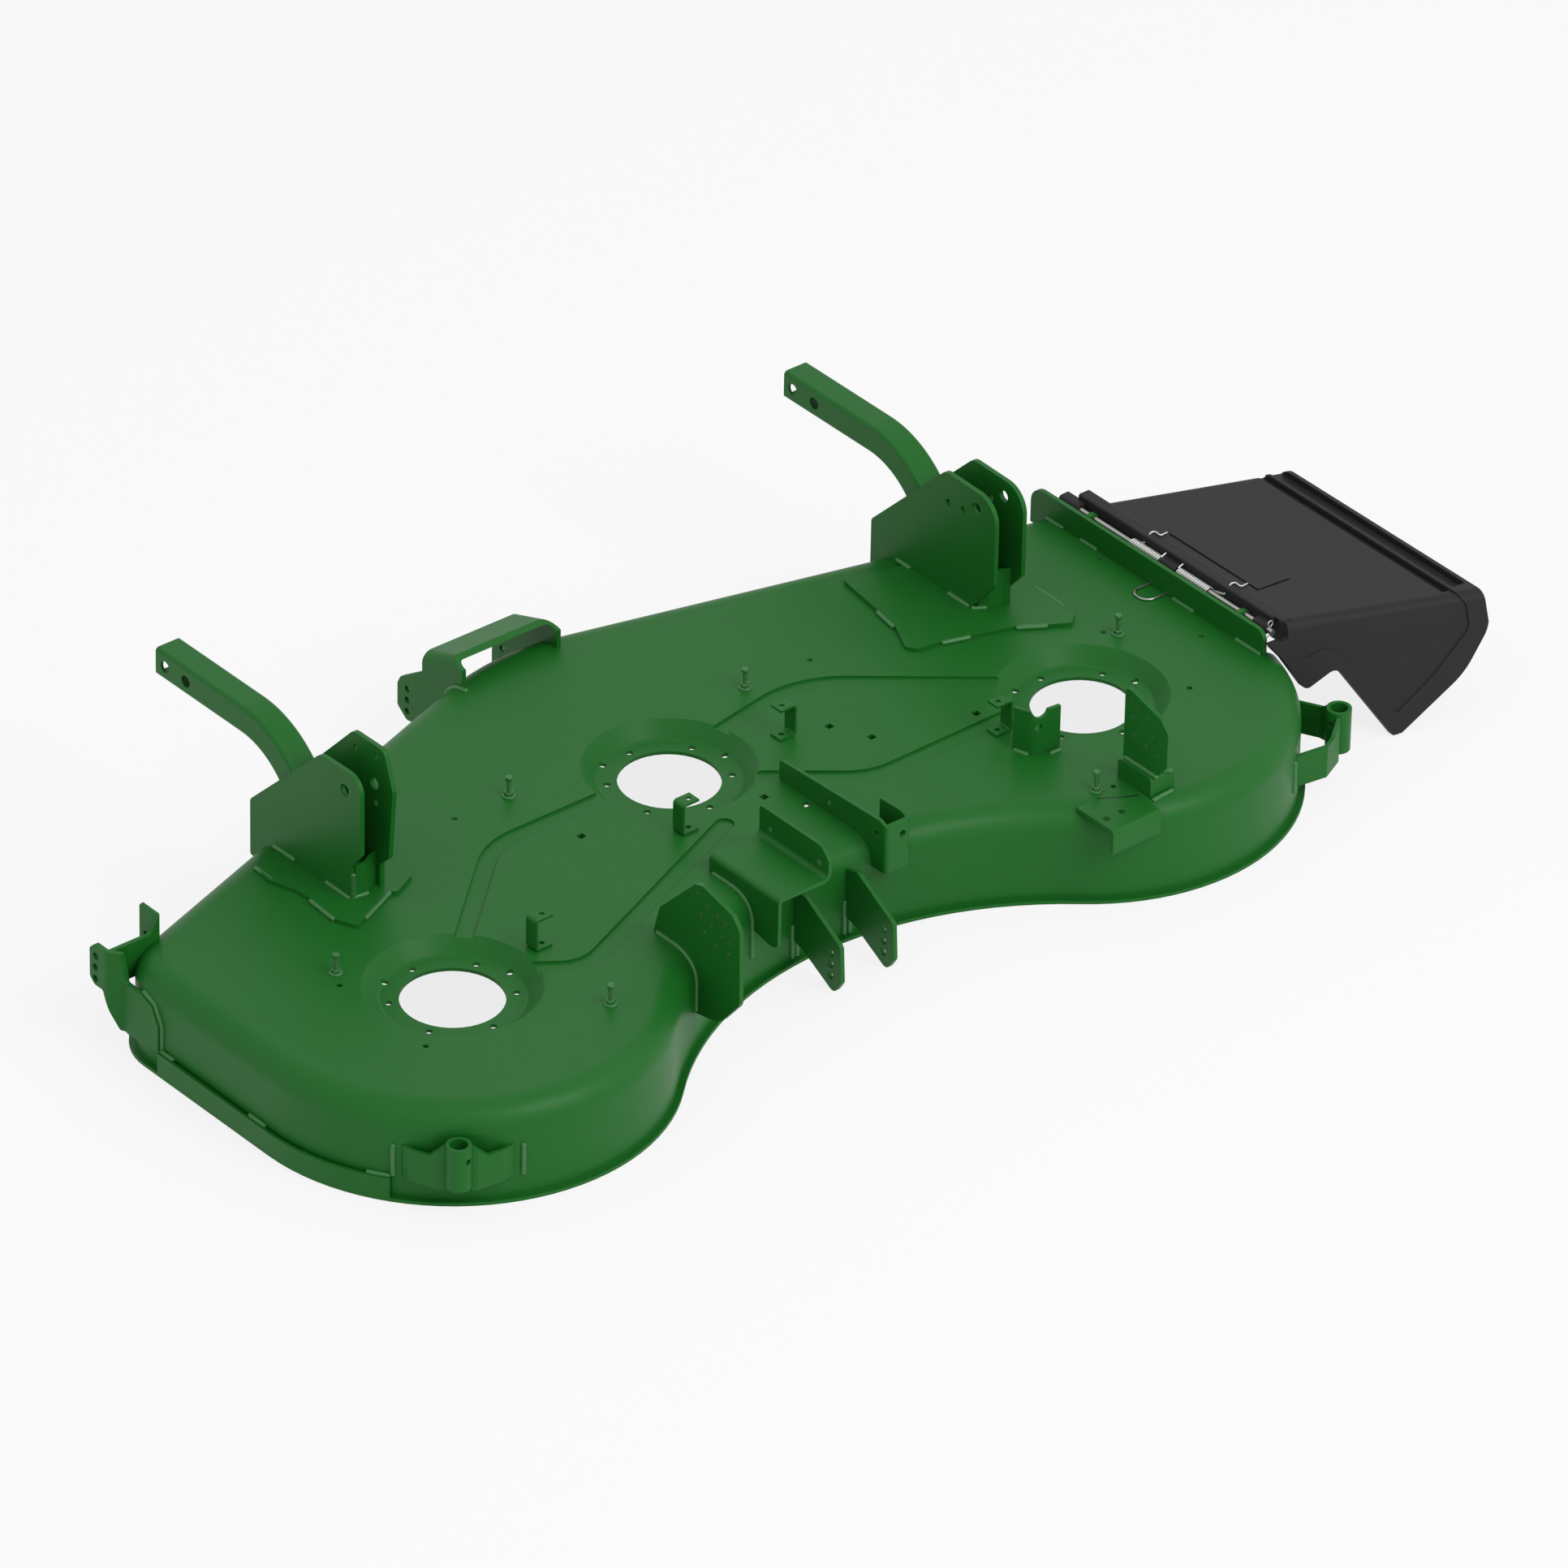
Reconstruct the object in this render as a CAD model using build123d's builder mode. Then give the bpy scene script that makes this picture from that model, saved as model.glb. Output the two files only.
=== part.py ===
from build123d import *
from math import atan2, cos, degrees, radians, sin, tan
import os

os.makedirs("parts", exist_ok=True)

# Deck stamping: origin on the middle spindle axis at the pocket floor, +X towards the discharge side,
# +Y to the front
sheet = 4.5
top_z = 19.0
skirt_height = 127.0
lip_width = 8.0
shoulder_radius = 32.0
spindle_spacing = 500.0
left_spindle_y = -207.0
right_spindle_y = -181.0
lobe_radius = 268.0
waist_radius = 482.0
apex_y = 351.3
front_left_angle = 19.1
front_right_angle = -14.1
front_left_corner_radius = 75.0
apex_corner_radius = 320.0
front_right_corner_radius = 40.0

# Spindle pockets
pocket_floor_radius = 88.0
pocket_rim_radius = 108.0
pocket_edge_radius = 8.0
spindle_bore_radius = 63.5
spindle_bolt_circle = 153.0
spindle_bolt_radius = 4.5
spindle_bolt_count = 6
spindle_bolt_start = 30
drain_hole_circle = 172.0
drain_hole_angle = 120

# Pressed beads in the top
bead_width = 30.0
bead_depth = 3.0

# Discharge opening and chute hinge
discharge_x = 740.0
discharge_rear_y = -250.0
discharge_front_y = 260.0
hinge_plate_thickness = 6.0
hinge_plate_x = 726.5
hinge_plate_height = 34.0
hinge_plate_rear_y = -256.0
hinge_plate_front_y = 180.0
hinge_axis_x = 742.0
hinge_axis_z = top_z + 28.0
hinge_rod_radius = 4.0
running_clearance = 0.08
knuckle_radius = 6.5
knuckle_gap = 1.0

# Plate stock
thick_plate = 6.35
bracket_plate = 6.0
light_plate = 5.0
clip_strip = 3.0
small_hole_radius = 4.5
perforation_radius = 4.2

# Lift arms
arm_size = 38.1
arm_wall = 3.4
arm_corner_radius = 5.0
arm_axis_z = top_z + 144.5
arm_bend_radius = 120.0
arm_bend_angle = 48.0
arm_tail = 60.0
arm_pin_radius = 8.0

bottom_z = top_z - skirt_height
side_x = spindle_spacing + lobe_radius
left_lobe = Vector(-spindle_spacing, left_spindle_y)
right_lobe = Vector(spindle_spacing, right_spindle_y)
spindles = [left_lobe, Vector(0, 0), right_lobe]

# The waist arc touches both lobes from outside, so its centre is one sum of radii from each
lobe_gap = right_lobe - left_lobe
waist_drop = ((lobe_radius + waist_radius) ** 2 - (lobe_gap.length / 2) ** 2) ** 0.5
waist_centre = (left_lobe + right_lobe) / 2 + Vector(lobe_gap.Y, -lobe_gap.X).normalized() * waist_drop
left_to_waist = degrees(atan2(waist_centre.Y - left_lobe.Y, waist_centre.X - left_lobe.X))
right_to_waist = degrees(atan2(waist_centre.Y - right_lobe.Y, waist_centre.X - right_lobe.X))


def front_corners(grow):
    """Left, apex and right corner of the front, for an outline moved outwards by grow."""
    left_run = Vector(cos(radians(front_left_angle)), sin(radians(front_left_angle)))
    right_run = Vector(cos(radians(front_right_angle)), sin(radians(front_right_angle)))
    left_foot = Vector(0, apex_y) + Vector(-left_run.Y, left_run.X) * grow
    right_foot = Vector(0, apex_y) + Vector(-right_run.Y, right_run.X) * grow
    left_slope = left_run.Y / left_run.X
    right_slope = right_run.Y / right_run.X
    left_height = left_foot.Y - left_foot.X * left_slope
    right_height = right_foot.Y - right_foot.X * right_slope
    apex_x = (right_height - left_height) / (left_slope - right_slope)
    reach = side_x + grow
    return [
        (-reach, left_height - reach * left_slope),
        (apex_x, left_height + apex_x * left_slope),
        (reach, right_height + reach * right_slope),
    ]


def deck_outline(grow):
    """Closed outline of the skirt, moved outwards by grow: lobes, waist and the three-sided front."""
    radius = lobe_radius + grow
    reach = side_x + grow
    with BuildLine() as outline:
        CenterArc(right_lobe, radius, 0, right_to_waist)
        CenterArc(waist_centre, waist_radius - grow, right_to_waist + 180, left_to_waist - right_to_waist)
        CenterArc(left_lobe, radius, left_to_waist, -180 - left_to_waist)
        FilletPolyline(
            (-reach, left_lobe.Y),
            *front_corners(grow),
            (reach, right_lobe.Y),
            radius=[
                front_left_corner_radius + grow,
                apex_corner_radius + grow,
                front_right_corner_radius + grow,
            ],
        )
    return outline.line


def plate_outline(points, radius):
    """Closed outline of a flat plate with its corners rounded."""
    with BuildLine() as outline:
        FilletPolyline(*points, radius=radius, close=True)
    return outline.line


# The stamping's outside as a solid block: skirt, rounded shoulder and the lip turned outwards
with BuildPart() as deck_form:
    with BuildSketch(Plane.XY.offset(bottom_z)):
        add(deck_outline(0))
        make_face()
    extrude(amount=skirt_height)
    fillet(deck_form.faces().sort_by(Axis.Z)[-1].edges(), shoulder_radius)
    with BuildSketch(Plane.XY.offset(bottom_z)):
        add(deck_outline(lip_width))
        make_face()
    extrude(amount=sheet)


def pocket_profile(grow):
    """Half section of a spindle pocket, moved outwards by grow, from its floor to above the top."""
    rise = top_z
    slope = atan2(rise, pocket_rim_radius - pocket_floor_radius)
    shift = grow * tan(slope / 2)
    above = pocket_rim_radius + (1 + grow) / tan(slope)
    with BuildLine() as section:
        FilletPolyline(
            (0, -grow),
            (pocket_floor_radius + shift, -grow),
            (above + shift, rise + 1),
            (0, rise + 1),
            radius=[pocket_edge_radius + grow, 0],
        )
        Line((0, rise + 1), (0, -grow))
    return section.line


bead_routes = [
    ([(-440, -148), (-275, -2), (-90, -2)], 100),
    ([(-405, -235), (-350, -275), (-28, -138)], 60),
    ([(100, 25), (245, 52), (440, -105)], 130),
    ([(75, -85), (180, -168), (390, -165)], 100),
]


def bead_outline(route, radius, width):
    """Closed outline of a bead's round-ended channel."""
    with BuildLine() as path:
        FilletPolyline(*route, radius=radius)
    with BuildLine() as outline:
        offset(path.line, amount=width / 2)
    return outline.line


# The space under the deck, with the undersides of the pockets and beads standing into it
with BuildPart() as cavity:
    with BuildSketch(Plane.XY.offset(bottom_z - 1)):
        add(deck_outline(-sheet))
        make_face()
    extrude(amount=skirt_height + 1 - sheet)
    fillet(cavity.faces().sort_by(Axis.Z)[-1].edges(), shoulder_radius - sheet)
    for spindle in spindles:
        with BuildSketch(Plane(origin=(spindle.X, spindle.Y, 0), x_dir=(1, 0, 0), z_dir=(0, -1, 0))):
            add(pocket_profile(sheet))
            make_face()
        revolve(axis=Axis((spindle.X, spindle.Y, 0), (0, 0, 1)), mode=Mode.SUBTRACT)
    for route, radius in bead_routes:
        with BuildSketch(Plane.XY.offset(top_z - bead_depth - sheet)):
            add(bead_outline(route, radius, bead_width))
            make_face()
        extrude(amount=bead_depth + sheet, mode=Mode.SUBTRACT)

square_hole = 9.0
square_holes = [(-180, -53), (47, -122), (76, -166), (209, -50), (368, -138), (234, -100)]
round_hole_radius = 3.6
round_holes = [
    (-276, 70), (286, 79), (716, 37), (698, -175), (-606, -126),
    (-606, -289), (609, -255), (609, -94), (392, -364),
]

# The stamping: one sheet, with its pockets, beads and holes
with BuildPart() as deck_shell:
    add(deck_form.part)
    for spindle in spindles:
        with BuildSketch(Plane(origin=(spindle.X, spindle.Y, 0), x_dir=(1, 0, 0), z_dir=(0, -1, 0))):
            add(pocket_profile(0))
            make_face()
        revolve(axis=Axis((spindle.X, spindle.Y, 0), (0, 0, 1)), mode=Mode.SUBTRACT)
    for route, radius in bead_routes:
        with BuildSketch(Plane.XY.offset(top_z)):
            add(bead_outline(route, radius, bead_width - 2 * bead_depth))
            make_face()
        extrude(amount=-bead_depth, mode=Mode.SUBTRACT)
    add(cavity.part, mode=Mode.SUBTRACT)
    with BuildSketch(Plane.XY.offset(bottom_z)):
        with Locations(*spindles):
            Circle(spindle_bore_radius)
            with PolarLocations(spindle_bolt_circle / 2, spindle_bolt_count, start_angle=spindle_bolt_start):
                Circle(spindle_bolt_radius)
            with PolarLocations(drain_hole_circle / 2, 2, angular_range=2 * drain_hole_angle):
                Circle(spindle_bolt_radius)
        with Locations(*round_holes):
            Circle(round_hole_radius)
        with Locations(*square_holes):
            Rectangle(square_hole, square_hole)
    extrude(amount=2 * skirt_height, mode=Mode.SUBTRACT)
    with BuildSketch(Plane.XY.offset(bottom_z - 1)):
        with Locations((discharge_x, discharge_rear_y)):
            Rectangle(
                side_x, discharge_front_y - discharge_rear_y, align=(Align.MIN, Align.MIN),
            )
    extrude(amount=2 * skirt_height, mode=Mode.SUBTRACT)
deck_shell.part.label = "deck_shell"
export_step(deck_shell.part, "parts/deck_shell.step")

# Wear band: flat bar standing on the lip round the left end
band_thickness = 4.5
band_height = 27.5
band_front_y = 5.0
band_end_angle = 216.0
band_outer = lobe_radius + lip_width
band_inner = band_outer - band_thickness
with BuildPart() as side_wear_band:
    with BuildSketch(Plane.XY.offset(bottom_z + sheet)):
        with BuildLine():
            outer_arc = CenterArc(left_lobe, band_outer, 180, band_end_angle - 180)
            inner_arc = CenterArc(left_lobe, band_inner, 180, band_end_angle - 180)
            Line(outer_arc @ 1, inner_arc @ 1)
            Polyline(
                outer_arc @ 0,
                (left_lobe.X - band_outer, band_front_y),
                (left_lobe.X - band_inner, band_front_y),
                inner_arc @ 0,
            )
        make_face()
    extrude(amount=band_height)
side_wear_band.part.label = "side_wear_band"
export_step(side_wear_band.part, "parts/side_wear_band.step")

# Doubler plates on top, under the lift arm hangers
doubler_thickness = 5.0
doubler_outlines = {
    "left": [
        (-530, 132), (-537, 99), (-524, 60), (-522, 32), (-526, -20), (-515, -45),
        (-439, -11), (-432, -17), (-397, 0), (-388, 20), (-388, 176),
    ],
    "right": [
        (431, 190), (420, 113), (413, 69), (392, 24), (401, 12), (432, 8),
        (528, -22), (565, -46), (588, -60), (606, -45), (606, 146),
    ],
}
doublers = {}
for side, outline in doubler_outlines.items():
    with BuildPart() as doubler:
        with BuildSketch(Plane.XY.offset(top_z)):
            add(plate_outline(outline, 4))
            make_face()
        extrude(amount=doubler_thickness)
    doubler.part.label = f"{side}_doubler_plate"
    export_step(doubler.part, f"parts/{side}_doubler_plate.step")
    doublers[side] = doubler.part

# Lift arm hangers: two plates welded to the sides of each arm, and a low wall that closes them
hanger_base_z = top_z + doubler_thickness
arm_x = {"left": -460.65, "right": 539.05}
arm_end_y = {"left": 389.5, "right": 414.0}
arm_bend_y = {"left": 225.0, "right": 252.0}
arm_pin_setback = {"left": (18.5, 58.5), "right": (17.0, 58.0)}
hanger_outlines = {
    "left_outer": [
        (198, -12), (198, 67), (64, 198), (-14, 200), (-14, 93), (5, 67), (5, 0),
    ],
    "left_inner": [
        (198, -12), (198, 67), (57, 217), (-2, 218), (-19, 168), (-12, 72), (4, 56), (4, 0),
    ],
    "right_inner": [
        (235, -12), (235, 58), (99, 193), (3, 191), (3, 72), (44, 24), (44, 0),
    ],
    "right_outer": [
        (235, -12), (235, 58), (99, 193), (3, 191), (3, 72), (44, 24), (44, 0),
    ],
}
hanger_corner_radii = {
    "left_outer": [4, 10, 16, 24, 4, 4, 0],
    "left_inner": [4, 10, 12, 12, 10, 4, 4, 0],
    "right_inner": [4, 10, 16, 34, 4, 4, 0],
    "right_outer": [4, 10, 16, 34, 4, 4, 0],
}
hanger_holes = {
    "left_outer": [(16, 172, 8.0)],
    "left_inner": [(16, 164, 8.0), (52, 196, 4.5), (13, 203, 4.5), (13, 138, 4.5)],
    "right_inner": [(39, 168, 8.0), (91, 152, 4.5), (63, 155, 4.5)],
    "right_outer": [(40, 169, 8.0), (91, 152, 4.5), (63, 155, 4.5)],
}
hanger_side = {"left_outer": -1, "left_inner": 1, "right_inner": -1, "right_outer": 1}
for name, outline in hanger_outlines.items():
    arm = name.split("_")[0]
    plate_x = arm_x[arm] + hanger_side[name] * (arm_size / 2)
    with BuildPart() as hanger_plate:
        with BuildSketch(Plane.YZ.offset(plate_x)):
            add(plate_outline(outline, hanger_corner_radii[name]))
            make_face()
            for hole_y, hole_z, hole_radius in hanger_holes[name]:
                with Locations((hole_y, hole_z)):
                    Circle(hole_radius, mode=Mode.SUBTRACT)
        extrude(amount=hanger_side[name] * thick_plate)
        add(deck_form.part, mode=Mode.SUBTRACT)
        add(doublers[arm], mode=Mode.SUBTRACT)
    hanger_plate.part.label = f"{arm}_hanger_{name.split('_')[1]}_plate"
    export_step(hanger_plate.part, f"parts/{hanger_plate.part.label}.step")

closing_wall_plan = {
    "left": [(-19.05, 3), (-4, 2), (14, 11), (19.05, 12)],
    "right": [(-19.05, 37), (-10, 30), (11, 27), (19.05, 22)],
}
closing_wall_height = {"left": 44.0, "right": 48.0}
for side, plan in closing_wall_plan.items():
    front_line = [(arm_x[side] + x, y + light_plate) for x, y in reversed(plan)]
    rear_line = [(arm_x[side] + x, y) for x, y in plan]
    with BuildPart() as closing_wall:
        with BuildSketch(Plane.XY.offset(hanger_base_z)):
            with BuildLine():
                Polyline(*rear_line, *front_line, close=True)
            make_face()
        extrude(amount=closing_wall_height[side])
    closing_wall.part.label = f"{side}_hanger_rear_wall"
    export_step(closing_wall.part, f"parts/{side}_hanger_rear_wall.step")

for side in ("left", "right"):
    bend = radians(arm_bend_angle)
    bend_end = (
        arm_bend_y[side] - arm_bend_radius * sin(bend),
        arm_axis_z - arm_bend_radius * (1 - cos(bend)),
    )
    with BuildLine() as arm_path:
        straight = Line((arm_end_y[side], arm_axis_z), (arm_bend_y[side], arm_axis_z))
        TangentArc(straight @ 1, bend_end, tangent=(-1, 0))
        Line(bend_end, (bend_end[0] - arm_tail * cos(bend), bend_end[1] - arm_tail * sin(bend)))
    with BuildPart() as lift_arm:
        with BuildSketch(Plane.YZ.offset(arm_x[side])):
            trace(arm_path.line, line_width=arm_size)
        extrude(amount=arm_size / 2, both=True)
        long_edges = lift_arm.faces().filter_by(Axis.X).edges().filter_by(
            lambda edge: edge.length > arm_size + 1
        )
        fillet(long_edges, arm_corner_radius)
        with BuildSketch(Plane.YZ.offset(arm_x[side])):
            trace(arm_path.line, line_width=arm_size - 2 * arm_wall)
        extrude(amount=arm_size / 2 - arm_wall, both=True, mode=Mode.SUBTRACT)
        with BuildSketch(Plane.YZ.offset(arm_x[side])):
            with Locations(*[(arm_end_y[side] - setback, arm_axis_z) for setback in arm_pin_setback[side]]):
                Circle(arm_pin_radius)
        extrude(amount=arm_size, both=True, mode=Mode.SUBTRACT)
    lift_arm.part.label = f"{side}_lift_arm"
    export_step(lift_arm.part, f"parts/{side}_lift_arm.step")

# Front roller bracket: one plate folded into two ears with a tilted handle strip between them
front_left_x = -88.0
front_right_x = 66.0
handle_front = Vector(0, 366, 33)
handle_rear = Vector(0, 324, 48)
handle_centre = (handle_front + handle_rear) / 2
roller_hole_radius = 5.0
with BuildPart() as front_roller_bracket:
    handle_plane = Plane(
        origin=((front_left_x + front_right_x) / 2, handle_centre.Y, handle_centre.Z),
        x_dir=(1, 0, 0),
        z_dir=handle_rear - handle_front,
    )
    half_span = (front_right_x - front_left_x) / 2
    with BuildSketch(handle_plane):
        with BuildLine():
            folded = FilletPolyline(
                (-half_span, -200), (-half_span, 0), (half_span, 0), (half_span, -200), radius=14,
            )
            offset(folded, amount=bracket_plate, side=Side.RIGHT)
        make_face()
    extrude(amount=200, both=True)
    with BuildSketch(Plane.YZ.offset(2 * front_left_x)):
        add(plate_outline(
            [
                (398, -80), (416, -66), (416, -34), (410, -23), (368, 5), (368, 33), (322, 52),
                (290, 44), (290, -62),
            ],
            [8, 6, 6, 4, 2, 2, 0, 0, 0],
        ))
        make_face()
    extrude(amount=4 * front_right_x, mode=Mode.INTERSECT)
    with BuildSketch(Plane.YZ.offset(2 * front_left_x)):
        with Locations((396.5, -35), (396.5, -51), (396.5, -67)):
            Circle(roller_hole_radius)
    extrude(amount=4 * front_right_x, mode=Mode.SUBTRACT)
    add(deck_form.part, mode=Mode.SUBTRACT)
front_roller_bracket.part.label = "front_roller_bracket"
export_step(front_roller_bracket.part, "parts/front_roller_bracket.step")

# Left corner roller bracket: a gusset flat on the side wall, joggled out to an ear
left_ear_offset = 14.0
left_wall_x = -side_x
with BuildPart() as left_roller_bracket:
    with BuildSketch(Plane.XY.offset(-90)):
        with BuildLine():
            joggle = FilletPolyline(
                (left_wall_x, 0), (left_wall_x, 72), (left_wall_x - left_ear_offset, 88),
                (left_wall_x - left_ear_offset, 125), radius=8,
            )
            offset(joggle, amount=bracket_plate, side=Side.LEFT)
        make_face()
    extrude(amount=140)
    with BuildSketch(Plane.YZ.offset(left_wall_x - 30)):
        add(plate_outline(
            [
                (6, -76), (6, -41), (19, -18), (40, -11), (68, -11), (75, 29), (110, 29),
                (119, 20), (119, -20), (110, -28), (94, -28), (74, -79), (62, -81),
            ],
            [2, 4, 6, 8, 4, 3, 6, 6, 6, 6, 4, 4, 4],
        ))
        make_face()
        with Locations((107, 13), (108, -3), (108, -19)):
            Circle(roller_hole_radius, mode=Mode.SUBTRACT)
    extrude(amount=40, mode=Mode.INTERSECT)
left_roller_bracket.part.label = "left_roller_bracket"
export_step(left_roller_bracket.part, "parts/left_roller_bracket.step")

# The cross plate behind that ear, with its second ear folded forwards
cross_y = 84.0
second_ear_x = -707.0
with BuildPart() as left_roller_cross_plate:
    with BuildSketch(Plane.XY.offset(-20)):
        with BuildLine():
            fold = FilletPolyline(
                (left_wall_x - left_ear_offset - 1, cross_y), (second_ear_x, cross_y),
                (second_ear_x, 120), radius=7,
            )
            offset(fold, amount=bracket_plate, side=Side.LEFT)
        make_face()
    extrude(amount=72)
    with BuildSketch(Plane.XZ.offset(-cross_y - 60)):
        add(plate_outline(
            [(-790, -20), (-790, 29), (-724, 29), (-712, 50), (-700, 50), (-700, -20)],
            [0, 0, 6, 6, 0, 0],
        ))
        make_face()
    extrude(amount=100, mode=Mode.INTERSECT)
    with BuildSketch(Plane.YZ.offset(second_ear_x - 20)):
        with Locations((107, 13)):
            Circle(roller_hole_radius)
    extrude(amount=40, mode=Mode.SUBTRACT)
    add(left_roller_bracket.part, mode=Mode.SUBTRACT)
    add(deck_form.part, mode=Mode.SUBTRACT)
left_roller_cross_plate.part.label = "left_roller_cross_plate"
export_step(left_roller_cross_plate.part, "parts/left_roller_cross_plate.step")

# Gauge wheel sockets: an upright tube at each rear corner, held by two folded wings
socket_outer_radius = 15.75
socket_bore_radius = 11.0
socket_bottom_z = bottom_z + 40.0
socket_height = 58.0
socket_pin_radius = 4.0
wing_root_radius = lobe_radius - 6.0
socket_places = {
    "left": {
        "lobe": left_lobe, "angle": -127.2, "radius": lobe_radius + 23,
        "wings": [
            [(-142.5, wing_root_radius), (-138, lobe_radius + 8), (-132, lobe_radius + 19)],
            [(-111.8, wing_root_radius), (-116.6, lobe_radius + 8), (-122.9, lobe_radius + 22)],
        ],
    },
    "right": {
        "lobe": right_lobe, "angle": -36.3, "radius": lobe_radius + 47,
        "wings": [
            [(-24, wing_root_radius), (-29.5, lobe_radius + 32), (-32.5, lobe_radius + 44)],
            [(-53.5, wing_root_radius), (-46.5, lobe_radius + 32), (-40.0, lobe_radius + 45)],
        ],
    },
}


def polar(centre, angle, radius):
    """Point at an angle and radius from a centre."""
    return (centre.X + radius * cos(radians(angle)), centre.Y + radius * sin(radians(angle)))


for side, place in socket_places.items():
    lobe = place["lobe"]
    angle = place["angle"]
    centre = polar(lobe, angle, place["radius"])
    with BuildPart() as socket:
        with BuildSketch(Plane.XY.offset(socket_bottom_z)):
            with Locations(centre):
                Circle(socket_outer_radius)
                Circle(socket_bore_radius, mode=Mode.SUBTRACT)
        extrude(amount=socket_height)
        with BuildSketch(Plane(
            origin=(centre[0], centre[1], socket_bottom_z + 40),
            x_dir=(0, 0, 1), z_dir=(cos(radians(angle + 45)), sin(radians(angle + 45)), 0),
        )):
            Circle(socket_pin_radius)
        extrude(amount=2 * socket_outer_radius, both=True, mode=Mode.SUBTRACT)
    socket.part.label = f"{side}_gauge_wheel_socket"
    export_step(socket.part, f"parts/{side}_gauge_wheel_socket.step")
    with BuildPart() as wings:
        with BuildSketch(Plane.XY.offset(bottom_z + 33)):
            for wing in place["wings"]:
                with BuildLine() as wing_line:
                    Polyline(*[polar(lobe, *point) for point in wing], centre)
                trace(wing_line.line, line_width=light_plate)
        extrude(amount=64)
        with BuildSketch(Plane(
            origin=(lobe.X, lobe.Y, 0), x_dir=(-sin(radians(angle)), cos(radians(angle)), 0),
            z_dir=(cos(radians(angle)), sin(radians(angle)), 0),
        )):
            with BuildLine():
                FilletPolyline(
                    (-130, bottom_z + 33), (-130, bottom_z + 77), (-34, bottom_z + 77),
                    (-18, bottom_z + 94), (18, bottom_z + 94), (34, bottom_z + 77),
                    (130, bottom_z + 77), (130, bottom_z + 33), radius=3, close=True,
                )
            make_face()
        extrude(amount=2 * lobe_radius, mode=Mode.INTERSECT)
        with Locations((centre[0], centre[1], 0)):
            Cylinder(socket_outer_radius, 4 * skirt_height, mode=Mode.SUBTRACT)
        add(deck_form.part, mode=Mode.SUBTRACT)
    wings.part.label = f"{side}_gauge_wheel_bracket"
    export_step(wings.part, f"parts/{side}_gauge_wheel_bracket.step")

# Perforated anchor plate standing across the rear shoulder
anchor_x = -240.0
with BuildPart() as anchor_plate:
    with BuildSketch(Plane.YZ.offset(anchor_x)):
        add(plate_outline(
            [
                (-260, 10), (-274, 57), (-338, 122), (-350, 126), (-407, 113), (-421, 96),
                (-423, -6), (-393, -42), (-379, -51), (-320, -62),
            ],
            [0, 4, 6, 6, 12, 12, 14, 8, 6, 0],
        ))
        make_face()
        with Locations(
            (-341, 110), (-359, 103), (-349, 85), (-377, 96), (-367, 79), (-392, 94),
            (-356, 63), (-388, 74), (-402, 71), (-377, 56), (-399, 54),
        ):
            Circle(perforation_radius, mode=Mode.SUBTRACT)
    extrude(amount=bracket_plate)
    add(deck_form.part, mode=Mode.SUBTRACT)
anchor_plate.part.label = "anchor_plate"
export_step(anchor_plate.part, "parts/anchor_plate.step")

# Z-bracket behind the middle pocket: down flange, level step and upright, folded from one plate
z_flange_x = -107.0
z_upright_x = -30.0
z_step_z = top_z + 23.0
z_upright_z = top_z + 62.0
waist_y = waist_centre.Y + waist_radius
z_front_y = waist_y + 66.0
z_rear_y = waist_y - 63.0
with BuildPart() as z_bracket:
    with BuildSketch(Plane.XZ.offset(-z_front_y)):
        with BuildLine():
            z_line = FilletPolyline(
                (z_flange_x, bottom_z), (z_flange_x, z_step_z), (z_upright_x, z_step_z),
                (z_upright_x, z_upright_z), radius=7,
            )
            offset(z_line, amount=light_plate, side=Side.RIGHT)
        make_face()
    extrude(amount=z_front_y - z_rear_y)
    with BuildSketch(Plane.XZ.offset(-z_front_y)):
        with BuildLine():
            Polyline(
                (z_flange_x, 10), (z_flange_x, z_step_z - 6), (z_flange_x + 38, z_step_z - 6),
                (z_flange_x + 38, 10), close=True,
            )
        make_face()
    extrude(amount=light_plate)
    with BuildSketch(Plane.YZ.offset(z_flange_x - 10)):
        add(plate_outline(
            [
                (z_front_y, 0), (z_front_y, z_upright_z), (z_rear_y + 14, z_upright_z),
                (z_rear_y, z_step_z + 24), (z_rear_y, -26), (z_rear_y + 14, -29), (waist_y, -20),
            ],
            [0, 5, 18, 10, 5, 5, 0],
        ))
        make_face()
    extrude(amount=120, mode=Mode.INTERSECT)
    with BuildSketch(Plane.YZ.offset(z_upright_x - 20)):
        with Locations((z_front_y - 19, top_z + 37), (z_rear_y + 18, top_z + 37)):
            Circle(small_hole_radius)
    extrude(amount=40, mode=Mode.SUBTRACT)
    add(deck_form.part, mode=Mode.SUBTRACT)
z_bracket.part.label = "z_bracket"
export_step(z_bracket.part, "parts/z_bracket.step")

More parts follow.
